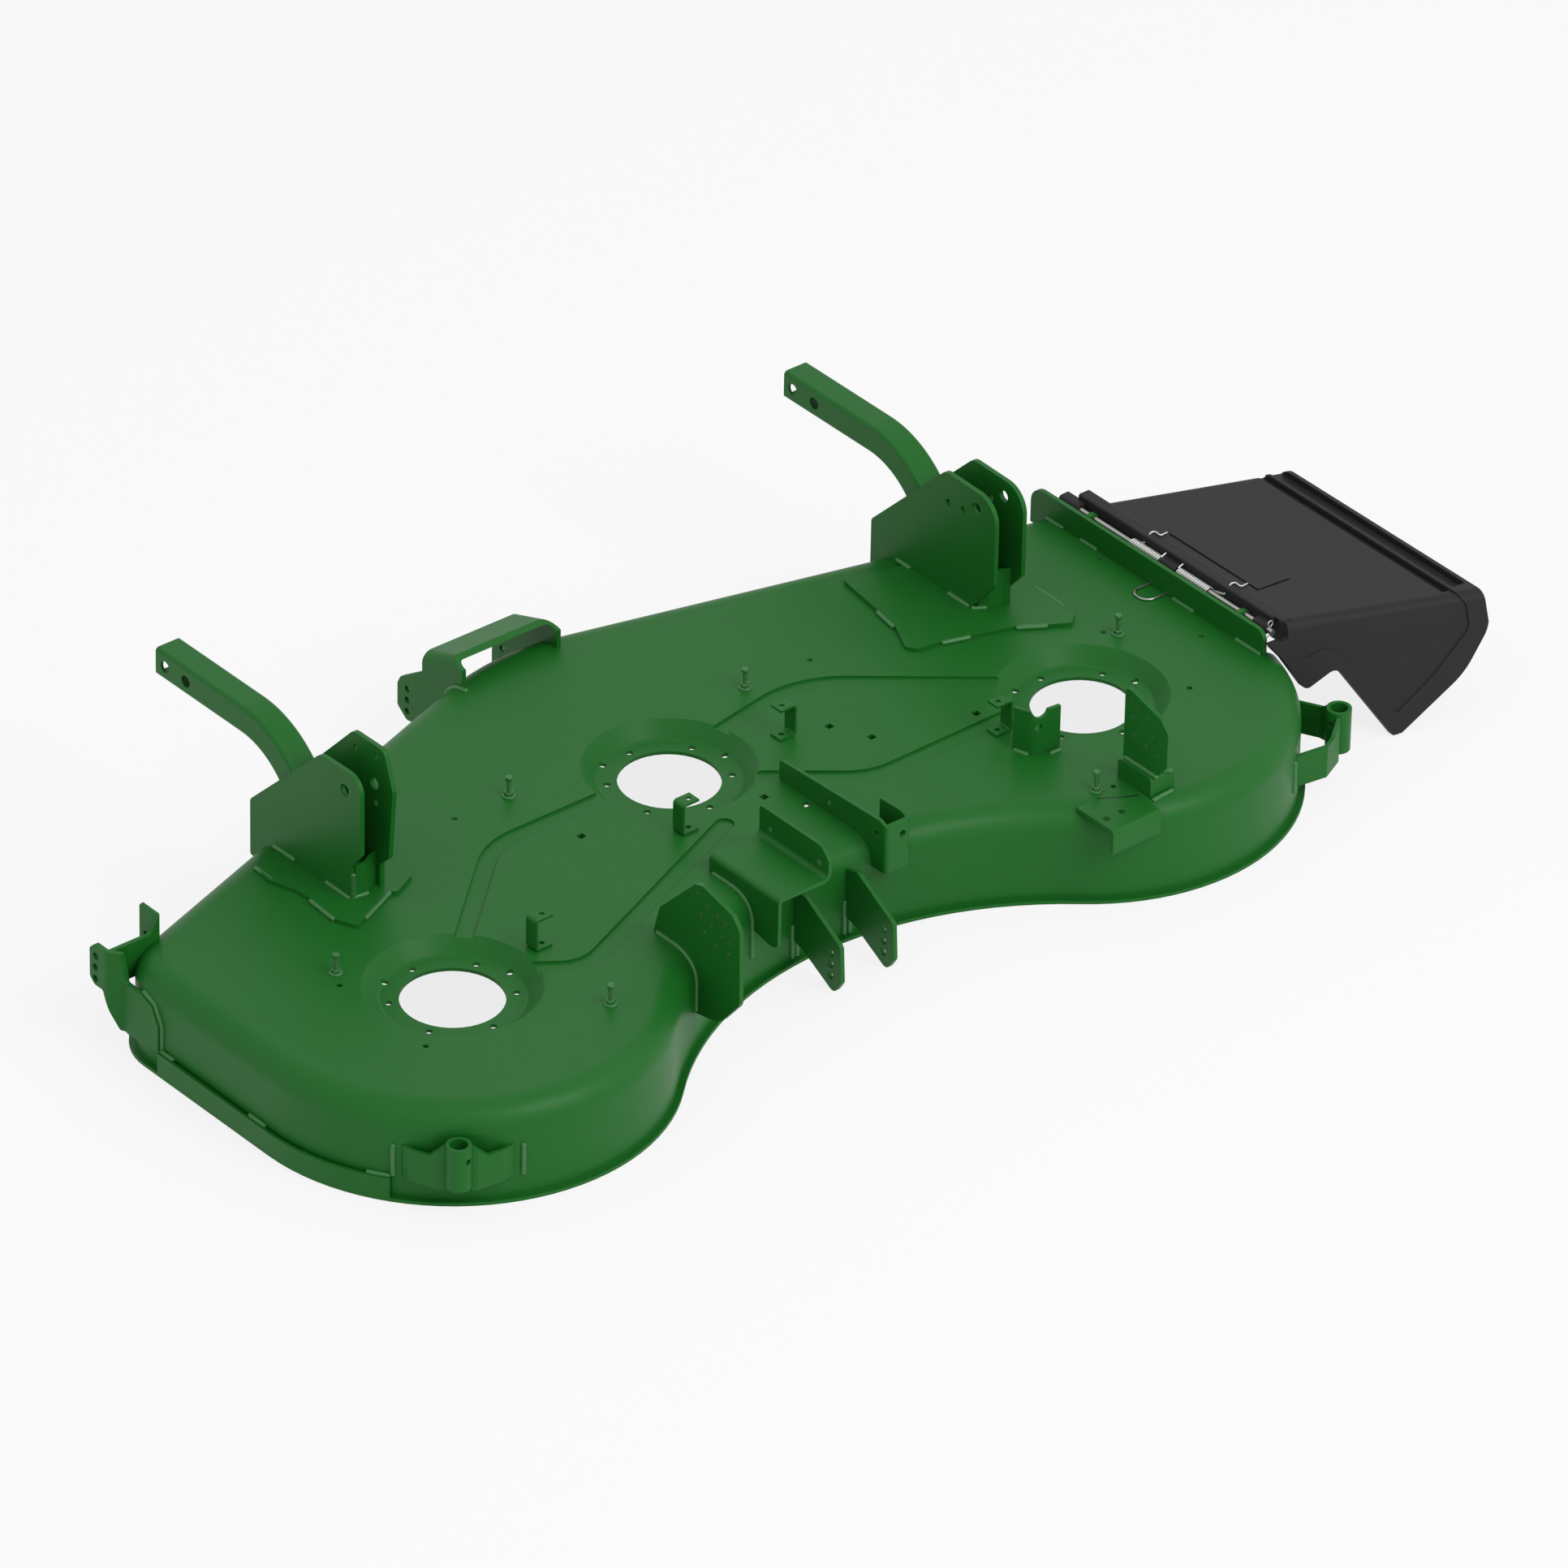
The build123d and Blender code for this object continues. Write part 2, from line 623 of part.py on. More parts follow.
# Two roller ears on the rear wall of the waist
ear_outline = [(30, 60), (0, 69), (-68, 30), (-71, -20), (-58, -40), (0, -9), (30, 0)]
ear_radii = [0, 8, 10, 10, 9, 4, 0]
ear_x = {"left": -32.0, "right": 50.0}
ear_y = waist_y - 22.0
ear_z = -72.0
axle_holes = [(ear_y - 51, ear_z + 14), (ear_y - 51, ear_z - 2), (ear_y - 51, ear_z - 18)]
for side in ("left", "right"):
    with BuildPart() as rear_ear:
        with BuildSketch(Plane.YZ.offset(ear_x[side])):
            add(plate_outline([(ear_y + y, ear_z + z) for y, z in ear_outline], ear_radii))
            make_face()
            with Locations(*axle_holes):
                Circle(roller_hole_radius, mode=Mode.SUBTRACT)
        extrude(amount=bracket_plate)
        add(deck_form.part, mode=Mode.SUBTRACT)
    rear_ear.part.label = f"rear_ear_{side}"
    export_step(rear_ear.part, f"parts/rear_ear_{side}.step")

# Belt guide rail: a web on the top, folded at the rear end and down over the shoulder
rail_x = 86.0
rail_end_x = 120.0
rail_front_y = -103.0
rail_rear_y = waist_y - 32.0
with BuildPart() as belt_guide_rail:
    with BuildSketch(Plane.XY.offset(-16)):
        with BuildLine():
            rail_line = FilletPolyline(
                (rail_x, rail_front_y), (rail_x, rail_rear_y), (rail_end_x + light_plate, rail_rear_y),
                (rail_end_x + light_plate, -250), radius=6,
            )
            offset(rail_line, amount=light_plate, side=Side.LEFT)
        make_face()
    extrude(amount=100)
    with BuildSketch(Plane.YZ.offset(rail_x - 10)):
        add(plate_outline(
            [
                (rail_front_y, top_z), (rail_front_y, top_z + 28), (rail_rear_y + 14, top_z + 36),
                (rail_rear_y - 8, top_z + 27), (rail_rear_y - 8, -16), (-240, -16), (-240, top_z),
            ],
            [0, 4, 10, 4, 0, 0, 0],
        ))
        make_face()
    extrude(amount=60, mode=Mode.INTERSECT)
    with BuildSketch(Plane.YZ.offset(rail_x - 10)):
        with Locations((-195, top_z + 14), (-286, top_z + 15)):
            Circle(small_hole_radius)
    extrude(amount=20, mode=Mode.SUBTRACT)
    with BuildSketch(Plane.XZ.offset(-rail_rear_y - 20)):
        with Locations((rail_end_x - 8, top_z + 14)):
            Circle(small_hole_radius)
    extrude(amount=40, mode=Mode.SUBTRACT)
    add(deck_form.part, mode=Mode.SUBTRACT)
belt_guide_rail.part.label = "belt_guide_rail"
export_step(belt_guide_rail.part, "parts/belt_guide_rail.step")

# Idler post: a plate bent round a vertical line, with a dipped top
post_height = 60.0
with BuildPart() as idler_post:
    with BuildSketch(Plane.XY.offset(top_z)):
        with BuildLine():
            post_line = FilletPolyline((350, -226), (361, -254), (398, -258), radius=14)
            offset(post_line, amount=light_plate, side=Side.LEFT)
        make_face()
    extrude(amount=post_height)
    with BuildSketch(Plane.XZ.offset(200)):
        with Locations((370, top_z + post_height + 2)):
            Circle(11)
        with Locations((367, top_z + 38)):
            Circle(small_hole_radius)
    extrude(amount=100, mode=Mode.SUBTRACT)
idler_post.part.label = "idler_post"
export_step(idler_post.part, "parts/idler_post.step")

# Perforated idler plate on its boxed foot
idler_x = 418.0
foot_height = 27.0
foot_rear_y = right_lobe.Y - lobe_radius + 38
foot_front_y = foot_rear_y + 60
foot_top_z = top_z + foot_height
foot_inside_z = foot_top_z - light_plate
idler_holes = [
    (11, 132), (22, 122), (13, 108), (37, 118), (30, 102), (54, 113), (19, 85), (49, 97), (39, 79),
    (64, 94), (61, 76),
]
with BuildPart() as idler_plate_foot:
    with BuildSketch(Plane.YZ.offset(idler_x - 8)):
        add(plate_outline(
            [
                (foot_front_y, top_z), (foot_front_y, foot_top_z), (foot_rear_y, foot_top_z),
                (foot_rear_y, -4), (foot_rear_y + 21, -4),
            ],
            [0, 6, 6, 0, 0],
        ))
        make_face()
    extrude(amount=38)
    with BuildSketch(Plane.YZ.offset(idler_x - 8 + light_plate)):
        with BuildLine():
            Polyline(
                (foot_front_y - light_plate, -10), (foot_front_y - light_plate, foot_inside_z),
                (foot_rear_y + light_plate, foot_inside_z), (foot_rear_y + light_plate, -10),
                close=True,
            )
        make_face()
    extrude(amount=60, mode=Mode.SUBTRACT)
    add(deck_form.part, mode=Mode.SUBTRACT)
idler_plate_foot.part.label = "idler_plate_foot"
export_step(idler_plate_foot.part, "parts/idler_plate_foot.step")

with BuildPart() as idler_plate:
    with BuildSketch(Plane.YZ.offset(idler_x)):
        add(plate_outline(
            [
                (foot_front_y, foot_top_z), (foot_front_y, 147), (foot_rear_y - 5, 130),
                (foot_rear_y - 19, 115), (foot_rear_y - 19, 69), (foot_rear_y, foot_top_z),
            ],
            [0, 8, 10, 8, 8, 0],
        ))
        make_face()
        with Locations(*[(foot_front_y - y, z) for y, z in idler_holes]):
            Circle(perforation_radius, mode=Mode.SUBTRACT)
    extrude(amount=bracket_plate)
idler_plate.part.label = "idler_plate"
export_step(idler_plate.part, "parts/idler_plate.step")

# Tab bent down over the right rear shoulder
tab_rear_y = right_lobe.Y - lobe_radius + 9
with BuildPart() as bent_tab:
    with BuildSketch(Plane.YZ.offset(327)):
        with BuildLine():
            tab_line = FilletPolyline(
                (tab_rear_y + 68, top_z), (tab_rear_y, top_z), (tab_rear_y, top_z - 33), radius=6,
            )
            offset(tab_line, amount=light_plate, side=Side.LEFT)
        make_face()
    extrude(amount=76)
    with BuildSketch(Plane.XY.offset(top_z - 20)):
        with Locations((364, tab_rear_y + 28), (339, tab_rear_y + 27)):
            Circle(small_hole_radius)
    extrude(amount=60, mode=Mode.SUBTRACT)
    add(deck_form.part, mode=Mode.SUBTRACT)
bent_tab.part.label = "bent_tab"
export_step(bent_tab.part, "parts/bent_tab.step")

# Belt cover clips: strips bent into a C, with a hole in the foot and in the top tab
clip_height = 44.0
clip_width = 19.0
clip_reach = 25.0
clip_places = [(-86, -120, 1), (-381, -206, 1), (165, -31, -1), (377, -185, -1)]
for number, (clip_x, clip_y, facing) in enumerate(clip_places, start=1):
    with BuildPart() as clip:
        with BuildSketch(Plane.XZ.offset(-clip_y - clip_width / 2)):
            with BuildLine():
                clip_line = FilletPolyline(
                    (clip_x + facing * clip_reach, top_z), (clip_x, top_z), (clip_x, top_z + clip_height),
                    (clip_x + facing * clip_reach, top_z + clip_height), radius=5,
                )
                offset(clip_line, amount=clip_strip, side=Side.RIGHT if facing > 0 else Side.LEFT)
            make_face()
        extrude(amount=clip_width)
        with BuildSketch(Plane.XY.offset(top_z)):
            with Locations((clip_x + facing * (clip_reach - 9), clip_y)):
                Circle(3.5)
        extrude(amount=2 * clip_height, mode=Mode.SUBTRACT)
    clip.part.label = f"belt_cover_clip_{number}"
    export_step(clip.part, f"parts/belt_cover_clip_{number}.step")

# Cover studs with their flange nuts
stud_radius = 3.2
stud_height = 28.0
stud_cap_radius = 4.6
stud_cap_height = 5.0
nut_flange_radius = 8.5
nut_flange_height = 2.0
nut_height = 7.0
nut_across_flats = 11.0
stud_places = [(-380, -354), (-593, -103), (-193, 69), (184, 80), (621, -108), (370, -358)]
with BuildPart() as cover_studs:
    with BuildSketch(Plane.XY.offset(top_z)):
        with Locations(*stud_places):
            Circle(stud_radius)
    extrude(amount=stud_height - stud_cap_height)
    with BuildSketch(Plane.XY.offset(top_z + stud_height - stud_cap_height)):
        with Locations(*stud_places):
            Circle(stud_cap_radius)
    extrude(amount=stud_cap_height)
cover_studs.part.label = "cover_studs"
export_step(cover_studs.part, "parts/cover_studs.step")

with BuildPart() as cover_nuts:
    with BuildSketch(Plane.XY.offset(top_z)):
        with Locations(*stud_places):
            Circle(nut_flange_radius)
    extrude(amount=nut_flange_height)
    with BuildSketch(Plane.XY.offset(top_z + nut_flange_height)):
        with Locations(*stud_places):
            RegularPolygon(nut_across_flats / 2, 6, major_radius=False)
    extrude(amount=nut_height - nut_flange_height)
    with BuildSketch(Plane.XY.offset(top_z)):
        with Locations(*stud_places):
            Circle(stud_radius)
    extrude(amount=nut_height, mode=Mode.SUBTRACT)
cover_nuts.part.label = "cover_nuts"
export_step(cover_nuts.part, "parts/cover_nuts.step")

# Hinge plate along the discharge edge
with BuildPart() as hinge_plate:
    with BuildSketch(Plane.YZ.offset(hinge_plate_x)):
        add(plate_outline(
            [
                (hinge_plate_rear_y, 0), (hinge_plate_rear_y, top_z + hinge_plate_height),
                (hinge_plate_front_y, top_z + hinge_plate_height), (hinge_plate_front_y, 0),
            ],
            [0, 14, 22, 0],
        ))
        make_face()
    extrude(amount=hinge_plate_thickness)
    add(deck_form.part, mode=Mode.SUBTRACT)
hinge_plate.part.label = "hinge_plate"
export_step(hinge_plate.part, "parts/hinge_plate.step")

# Lugs on the hinge plate, round the rod
lug_width = 7.0
lug_places = [81.0, -201.0]
plate_face_x = hinge_plate_x + hinge_plate_thickness
with BuildPart() as hinge_lugs:
    for lug_y in lug_places:
        with BuildSketch(Plane.XZ.offset(-lug_y - lug_width / 2)):
            with Locations((hinge_axis_x, hinge_axis_z)):
                Circle(knuckle_radius)
            with Locations((plate_face_x, hinge_axis_z)):
                Rectangle(
                    hinge_axis_x - plate_face_x, 2 * knuckle_radius, align=(Align.MIN, Align.CENTER),
                )
            with Locations((hinge_axis_x, hinge_axis_z)):
                Circle(hinge_rod_radius + running_clearance, mode=Mode.SUBTRACT)
        extrude(amount=lug_width)
hinge_lugs.part.label = "hinge_lugs"
export_step(hinge_lugs.part, "parts/hinge_lugs.step")

# Hinge rod with a split pin at its rear end
rod_front_y = 141.0
rod_rear_y = -256.0
pin_y = rod_rear_y + 5.5
pin_radius = 1.3
with BuildPart() as hinge_rod:
    with BuildSketch(Plane.XZ.offset(-rod_front_y)):
        with Locations((hinge_axis_x, hinge_axis_z)):
            Circle(hinge_rod_radius)
    extrude(amount=rod_front_y - rod_rear_y)
    with BuildSketch(Plane.XY.offset(hinge_axis_z - 10)):
        with Locations((hinge_axis_x, pin_y)):
            Circle(pin_radius)
    extrude(amount=20, mode=Mode.SUBTRACT)
hinge_rod.part.label = "hinge_rod"
export_step(hinge_rod.part, "parts/hinge_rod.step")

with BuildPart() as cotter_pin:
    with BuildSketch(Plane.XY.offset(hinge_axis_z - 9)):
        with Locations((hinge_axis_x, pin_y)):
            Circle(pin_radius)
    extrude(amount=16)
    with BuildSketch(Plane.YZ.offset(hinge_axis_x)):
        with Locations((pin_y, hinge_axis_z + 10.6 + 3.4)):
            Circle(pin_radius)
    revolve(axis=Axis((hinge_axis_x, pin_y, hinge_axis_z + 10.6), (0, 1, 0)))
cotter_pin.part.label = "cotter_pin"
export_step(cotter_pin.part, "parts/cotter_pin.step")

# Discharge chute: a moulded channel with sloping top, leaning sides and a hinge rib
chute_wall = 4.5
chute_hinge_x = hinge_axis_x + knuckle_radius + knuckle_gap
chute_inner_x = 724.0
chute_outer_x = 1009.0
chute_top_z = top_z + 43.3
chute_fall = 0.0617
chute_front_y = 97.2
chute_front_splay = 0.275
chute_rear_y = -256.0
chute_rear_splay = 0.304
chute_lean = 0.287
chute_crease_radius = 14.0
chute_floor_z = bottom_z + 1.5
border_rise = 2.0
rim_groove_depth = 6.0
rim_groove_x = 966.0
rim_grooves = [(rim_groove_x, 977.0), (982.0, 1003.0)]
rib_width = 18.5
rib_top_z = top_z + 42.0
rib_front_y = 117.0
rib_rear_y = -260.0
pin_notch_radius = 17.5


def chute_top(x):
    """Height of the chute's top face at x."""
    return chute_top_z - chute_fall * (x - chute_inner_x)


def chute_front(x):
    """Front crease of the chute at x."""
    return chute_front_y - chute_front_splay * (x - chute_inner_x)


def chute_rear(x):
    """Rear crease of the chute at x."""
    return chute_rear_y - chute_rear_splay * (x - chute_inner_x)


def chute_section(x, inset, drop=0):
    """Section of the channel across its flow at x, moved inwards by inset and its top down by drop."""
    top = chute_top(x) - inset - drop
    skirt = chute_lean * (chute_top(x) - chute_floor_z)
    front = chute_front(x) - inset
    rear = chute_rear(x) + inset
    crease = chute_crease_radius - inset
    return plate_outline(
        [
            (front, top), (rear, top),
            (rear - skirt, chute_floor_z - inset), (front + skirt, chute_floor_z - inset),
        ],
        [crease, crease, 0, 0],
    )


# Outline of the channel seen along the hinge, and of the raised panel inside its border
chute_profile = [
    (chute_inner_x, 42), (chute_inner_x + 28, 40), (chute_inner_x + 33, chute_top_z + 10),
    (chute_outer_x, chute_top_z + 10), (chute_outer_x + 2, 5), (968, -48), (868, -110), (808, -6),
    (764, -26), (741, 19),
]
chute_profile_radii = [0, 4, 0, 24, 45, 120, 7, 12, 8, 20]
panel_profile = [
    (759, chute_top_z + 10), (759, 50), (769, 12), (794, 20), (813, 14), (873, -80), (930, -42),
    (984, 6), (984, 34), (974, 56), (974, chute_top_z + 10),
]
panel_profile_radii = [0, 20, 5, 12, 24, 4, 60, 16, 12, 8, 0]
knuckle_spans = [(104.0, 139.0), (-78.5, -49.5), (-246.0, -223.0)]

# The border stands proud of the channel all round that panel
with BuildPart() as chute_border:
    for inset, mode in ((-border_rise, Mode.ADD), (0, Mode.SUBTRACT)):
        for x in (chute_inner_x, chute_outer_x):
            with BuildSketch(Plane.YZ.offset(x)):
                add(chute_section(x, inset))
                make_face()
        loft(ruled=True, mode=mode)
    with BuildSketch(Plane.XZ.offset(-200)):
        add(plate_outline(chute_profile, chute_profile_radii))
        make_face()
        with BuildLine():
            add(plate_outline(panel_profile, panel_profile_radii))
        make_face(mode=Mode.SUBTRACT)
    extrude(amount=800, mode=Mode.INTERSECT)

with BuildPart() as discharge_chute:
    for inset, mode in ((0, Mode.ADD), (chute_wall, Mode.SUBTRACT)):
        for x in (chute_inner_x, chute_outer_x if inset == 0 else rim_groove_x - chute_wall):
            with BuildSketch(Plane.YZ.offset(x)):
                add(chute_section(x, inset))
                make_face()
        loft(ruled=True, mode=mode)
    for x in (rim_groove_x - chute_wall, chute_outer_x - chute_wall):
        with BuildSketch(Plane.YZ.offset(x)):
            add(chute_section(x, chute_wall, rim_groove_depth))
            make_face()
    loft(ruled=True, mode=Mode.SUBTRACT)
    with BuildSketch(Plane.XZ.offset(-200)):
        add(plate_outline(chute_profile, chute_profile_radii))
        make_face()
    extrude(amount=800, mode=Mode.INTERSECT)
    add(chute_border.part)
    groove_end_y = chute_rear(rim_groove_x) + chute_crease_radius
    with BuildSketch(Plane.XZ.offset(-chute_front_y)):
        for groove_start_x, groove_stop_x in rim_grooves:
            with BuildLine():
                Polyline(
                    (groove_start_x, chute_top_z + 10), (groove_stop_x, chute_top_z + 10),
                    (groove_stop_x, chute_top(groove_stop_x) - rim_groove_depth),
                    (groove_start_x, chute_top(groove_start_x) - rim_groove_depth), close=True,
                )
            make_face()
    extrude(amount=chute_front_y - groove_end_y, mode=Mode.SUBTRACT)
    with BuildSketch(Plane.XY.offset(2 * bottom_z)):
        with Locations((chute_hinge_x - 100, -259)):
            Rectangle(100, 400, align=(Align.MIN, Align.MIN))
    extrude(amount=400, mode=Mode.SUBTRACT)
    with BuildSketch(Plane.XY.offset(2 * bottom_z)):
        with Locations((chute_inner_x - 10, -60)):
            Rectangle(320, 300, align=(Align.MIN, Align.MIN))
    extrude(amount=-20 - 2 * bottom_z, mode=Mode.SUBTRACT)
    with BuildSketch(Plane.XY.offset(2 * bottom_z)):
        with Locations((chute_outer_x - 20, chute_rear(chute_outer_x) + chute_wall)):
            Rectangle(
                60, chute_front(chute_outer_x) - chute_rear(chute_outer_x) - 2 * chute_wall,
                align=(Align.MIN, Align.MIN),
            )
    extrude(amount=chute_top(chute_outer_x) - 18 - 2 * bottom_z, mode=Mode.SUBTRACT)
    with BuildSketch(Plane.XY.offset(rib_top_z)):
        with Locations((chute_hinge_x, rib_rear_y)):
            Rectangle(rib_width, rib_front_y - rib_rear_y, align=(Align.MIN, Align.MIN))
    extrude(amount=10, mode=Mode.SUBTRACT)
    with BuildSketch(Plane.XZ.offset(-rib_front_y)):
        with BuildLine():
            FilletPolyline(
                (chute_hinge_x, hinge_axis_z - knuckle_radius), (chute_hinge_x, rib_top_z),
                (chute_hinge_x + rib_width, rib_top_z), (chute_hinge_x + rib_width, rib_top_z - 7),
                (chute_hinge_x + chute_wall, rib_top_z - 7),
                (chute_hinge_x + chute_wall, hinge_axis_z - knuckle_radius),
                radius=[0, 3, 3, 0, 0, 0], close=True,
            )
        make_face()
    extrude(amount=rib_front_y - rib_rear_y)
    top_plane = Plane(
        origin=(chute_inner_x, 0, chute_top_z - 1.2), x_dir=(1, 0, -chute_fall), z_dir=(chute_fall, 0, 1),
    )
    with BuildSketch(top_plane):
        with BuildLine() as notch_line:
            Polyline((55, -20), (55, -185), (106, -186))
        trace(notch_line.line, line_width=3)
    extrude(amount=10, mode=Mode.SUBTRACT)
    for knuckle_rear_y, knuckle_front_y in [sorted(span) for span in knuckle_spans]:
        with BuildSketch(Plane.XZ.offset(-knuckle_front_y)):
            with Locations((hinge_axis_x, hinge_axis_z)):
                Circle(knuckle_radius)
                Rectangle(
                    knuckle_radius + knuckle_gap + chute_wall / 2, 2 * knuckle_radius,
                    align=(Align.MIN, Align.CENTER),
                )
        extrude(amount=knuckle_front_y - knuckle_rear_y)
    with BuildSketch(Plane.XZ.offset(-rib_front_y - 30)):
        with Locations((hinge_axis_x, hinge_axis_z)):
            Circle(hinge_rod_radius + running_clearance)
    extrude(amount=500, mode=Mode.SUBTRACT)
    with BuildSketch(Plane.XZ.offset(-knuckle_spans[-1][0] + 0.4)):
        with Locations((hinge_axis_x, hinge_axis_z)):
            Circle(pin_notch_radius)
    extrude(amount=knuckle_spans[-1][0] - rib_rear_y + 1.6, mode=Mode.SUBTRACT)
discharge_chute.part.label = "discharge_chute"
export_step(discharge_chute.part, "parts/discharge_chute.step")

# Torsion springs: coils round the rod, one leg over the rib and onto the chute
spring_wire_radius = 1.2
spring_outer_radius = 7.5
spring_inner_radius = 4.8
spring_spans = {"front": (-48.0, 8.0), "rear": (-139.0, -80.0)}
leg_z = rib_top_z + spring_wire_radius + 0.3
leg_x = hinge_axis_x + (spring_inner_radius + spring_outer_radius) / 2
for name, (coil_rear_y, coil_front_y) in spring_spans.items():
    leg_y = coil_front_y - 8 if name == "front" else coil_rear_y + 8
    with BuildPart() as spring:
        with BuildSketch(Plane.XZ.offset(-coil_front_y)):
            with Locations((hinge_axis_x, hinge_axis_z)):
                Circle(spring_outer_radius)
                Circle(spring_inner_radius, mode=Mode.SUBTRACT)
        extrude(amount=coil_front_y - coil_rear_y)
        with BuildLine() as leg_path:
            FilletPolyline(
                (leg_x, leg_y, hinge_axis_z), (leg_x, leg_y, leg_z),
                (chute_hinge_x + rib_width + 3, leg_y, leg_z),
                (chute_hinge_x + rib_width + 9, leg_y, chute_top(chute_hinge_x + rib_width + 9) + 1.5),
                radius=2,
            )
        with BuildSketch(Plane(origin=leg_path.line @ 0, z_dir=leg_path.line % 0)):
            Circle(spring_wire_radius)
        sweep(path=leg_path.line)
    spring.part.label = f"chute_spring_{name}"
    export_step(spring.part, f"parts/chute_spring_{name}.step")

# Wire loop lying on the top beside the hinge plate
loop_wire_radius = 1.6
loop_radius = 15.0
loop_y = -61.0
with BuildPart() as wire_loop:
    with BuildLine(Plane.XY.offset(top_z + loop_wire_radius)) as loop_path:
        front_leg = Line((hinge_plate_x, loop_y + loop_radius), (hinge_plate_x - 18, loop_y + loop_radius))
        bend_arc = ThreePointArc(
            front_leg @ 1, (hinge_plate_x - 18 - loop_radius, loop_y),
            (hinge_plate_x - 18, loop_y - loop_radius),
        )
        Line(bend_arc @ 1, (hinge_plate_x, loop_y - loop_radius))
    with BuildSketch(Plane(origin=loop_path.line @ 0, z_dir=loop_path.line % 0)):
        Circle(loop_wire_radius)
    sweep(path=loop_path.line)
wire_loop.part.label = "wire_loop"
export_step(wire_loop.part, "parts/wire_loop.step")
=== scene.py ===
"""Finishes, welds, springs and fasteners of a three-spindle lawn mower deck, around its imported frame."""

import math

import bmesh
import bpy
from bpy.props import FloatProperty, FloatVectorProperty, IntProperty, PointerProperty
from mathutils import Matrix, Vector
from mathutils.bvhtree import BVHTree


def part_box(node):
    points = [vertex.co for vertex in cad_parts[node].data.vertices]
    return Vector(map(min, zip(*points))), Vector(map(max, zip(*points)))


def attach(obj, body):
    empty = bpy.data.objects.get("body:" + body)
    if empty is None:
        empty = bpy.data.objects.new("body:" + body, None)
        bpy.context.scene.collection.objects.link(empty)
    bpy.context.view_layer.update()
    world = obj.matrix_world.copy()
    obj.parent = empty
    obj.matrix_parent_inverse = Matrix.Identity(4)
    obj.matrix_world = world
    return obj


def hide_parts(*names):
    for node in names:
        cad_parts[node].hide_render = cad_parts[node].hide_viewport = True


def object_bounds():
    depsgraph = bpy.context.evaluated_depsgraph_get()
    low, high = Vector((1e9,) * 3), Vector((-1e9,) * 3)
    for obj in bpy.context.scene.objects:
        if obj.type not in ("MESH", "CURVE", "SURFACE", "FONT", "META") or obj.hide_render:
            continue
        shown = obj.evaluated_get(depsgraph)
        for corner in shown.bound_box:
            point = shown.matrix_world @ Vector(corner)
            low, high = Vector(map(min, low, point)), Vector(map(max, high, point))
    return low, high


bl_info = {
    "name": "Mower Deck Dressing",
    "version": (1, 0, 0),
    "blender": (4, 5, 0),
    "location": "3D View > Sidebar > Mower Deck",
    "description": "Paint, welds, hinge springs, cover studs and blind nuts for a welded mower deck",
    "category": "Object",
}

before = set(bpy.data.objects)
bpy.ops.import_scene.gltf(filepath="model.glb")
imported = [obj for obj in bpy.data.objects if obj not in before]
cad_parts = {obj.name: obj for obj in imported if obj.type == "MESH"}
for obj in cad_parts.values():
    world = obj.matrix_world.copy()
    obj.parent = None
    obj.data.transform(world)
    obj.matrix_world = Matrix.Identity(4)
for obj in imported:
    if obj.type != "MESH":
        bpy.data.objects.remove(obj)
CAD_BOX = [list(corner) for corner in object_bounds()]

DECK_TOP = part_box("cover_nuts")[0].z
PLASTIC_NODES = ("discharge_chute",)
ZINC_NODES = ("wire_loop", "hinge_rod", "cotter_pin", "chute_spring_front", "chute_spring_rear")


# Node graphs

class Signal:
    """One output socket of a node graph, ready for arithmetic."""

    def __init__(self, graph, socket):
        self.graph = graph
        self.socket = socket

    def _math(self, operation, first, second):
        return self.graph.node("ShaderNodeMath", {"operation": operation}, {0: first, 1: second})

    def __add__(self, other):
        return self._math("ADD", self, other)

    __radd__ = __add__

    def __mul__(self, other):
        return self._math("MULTIPLY", self, other)

    __rmul__ = __mul__

    def __truediv__(self, other):
        return self._math("DIVIDE", self, other)

    def __rtruediv__(self, other):
        return self._math("DIVIDE", other, self)

    def beside(self, label):
        """Signal of another output of the same node."""
        return Signal(self.graph, self.socket.node.outputs[label])


class Graph:
    """A node tree under construction, for a material or for geometry."""

    def __init__(self, tree):
        self.tree = tree

    def node(self, kind, settings=None, sockets=None, output=0):
        """Adds a node, sets it up, feeds its sockets and returns one of its outputs, if it has any."""
        made = self.tree.nodes.new(kind)
        for key, value in (settings or {}).items():
            setattr(made, key, value)
        for key, value in (sockets or {}).items():
            self.feed(self.find(made.inputs, key), value)
        return Signal(self, self.find(made.outputs, output)) if made.outputs else None

    def find(self, sockets, key):
        """The enabled socket with that name, or at that place."""
        if isinstance(key, int):
            return sockets[key]
        return next(socket for socket in sockets if socket.name == key and socket.enabled)

    def feed(self, socket, value):
        """Links a signal, or several, to a socket, or sets the socket's own value."""
        for source in value if isinstance(value, list) else [value]:
            if isinstance(source, Signal):
                self.tree.links.new(source.socket, socket)
            else:
                socket.default_value = source


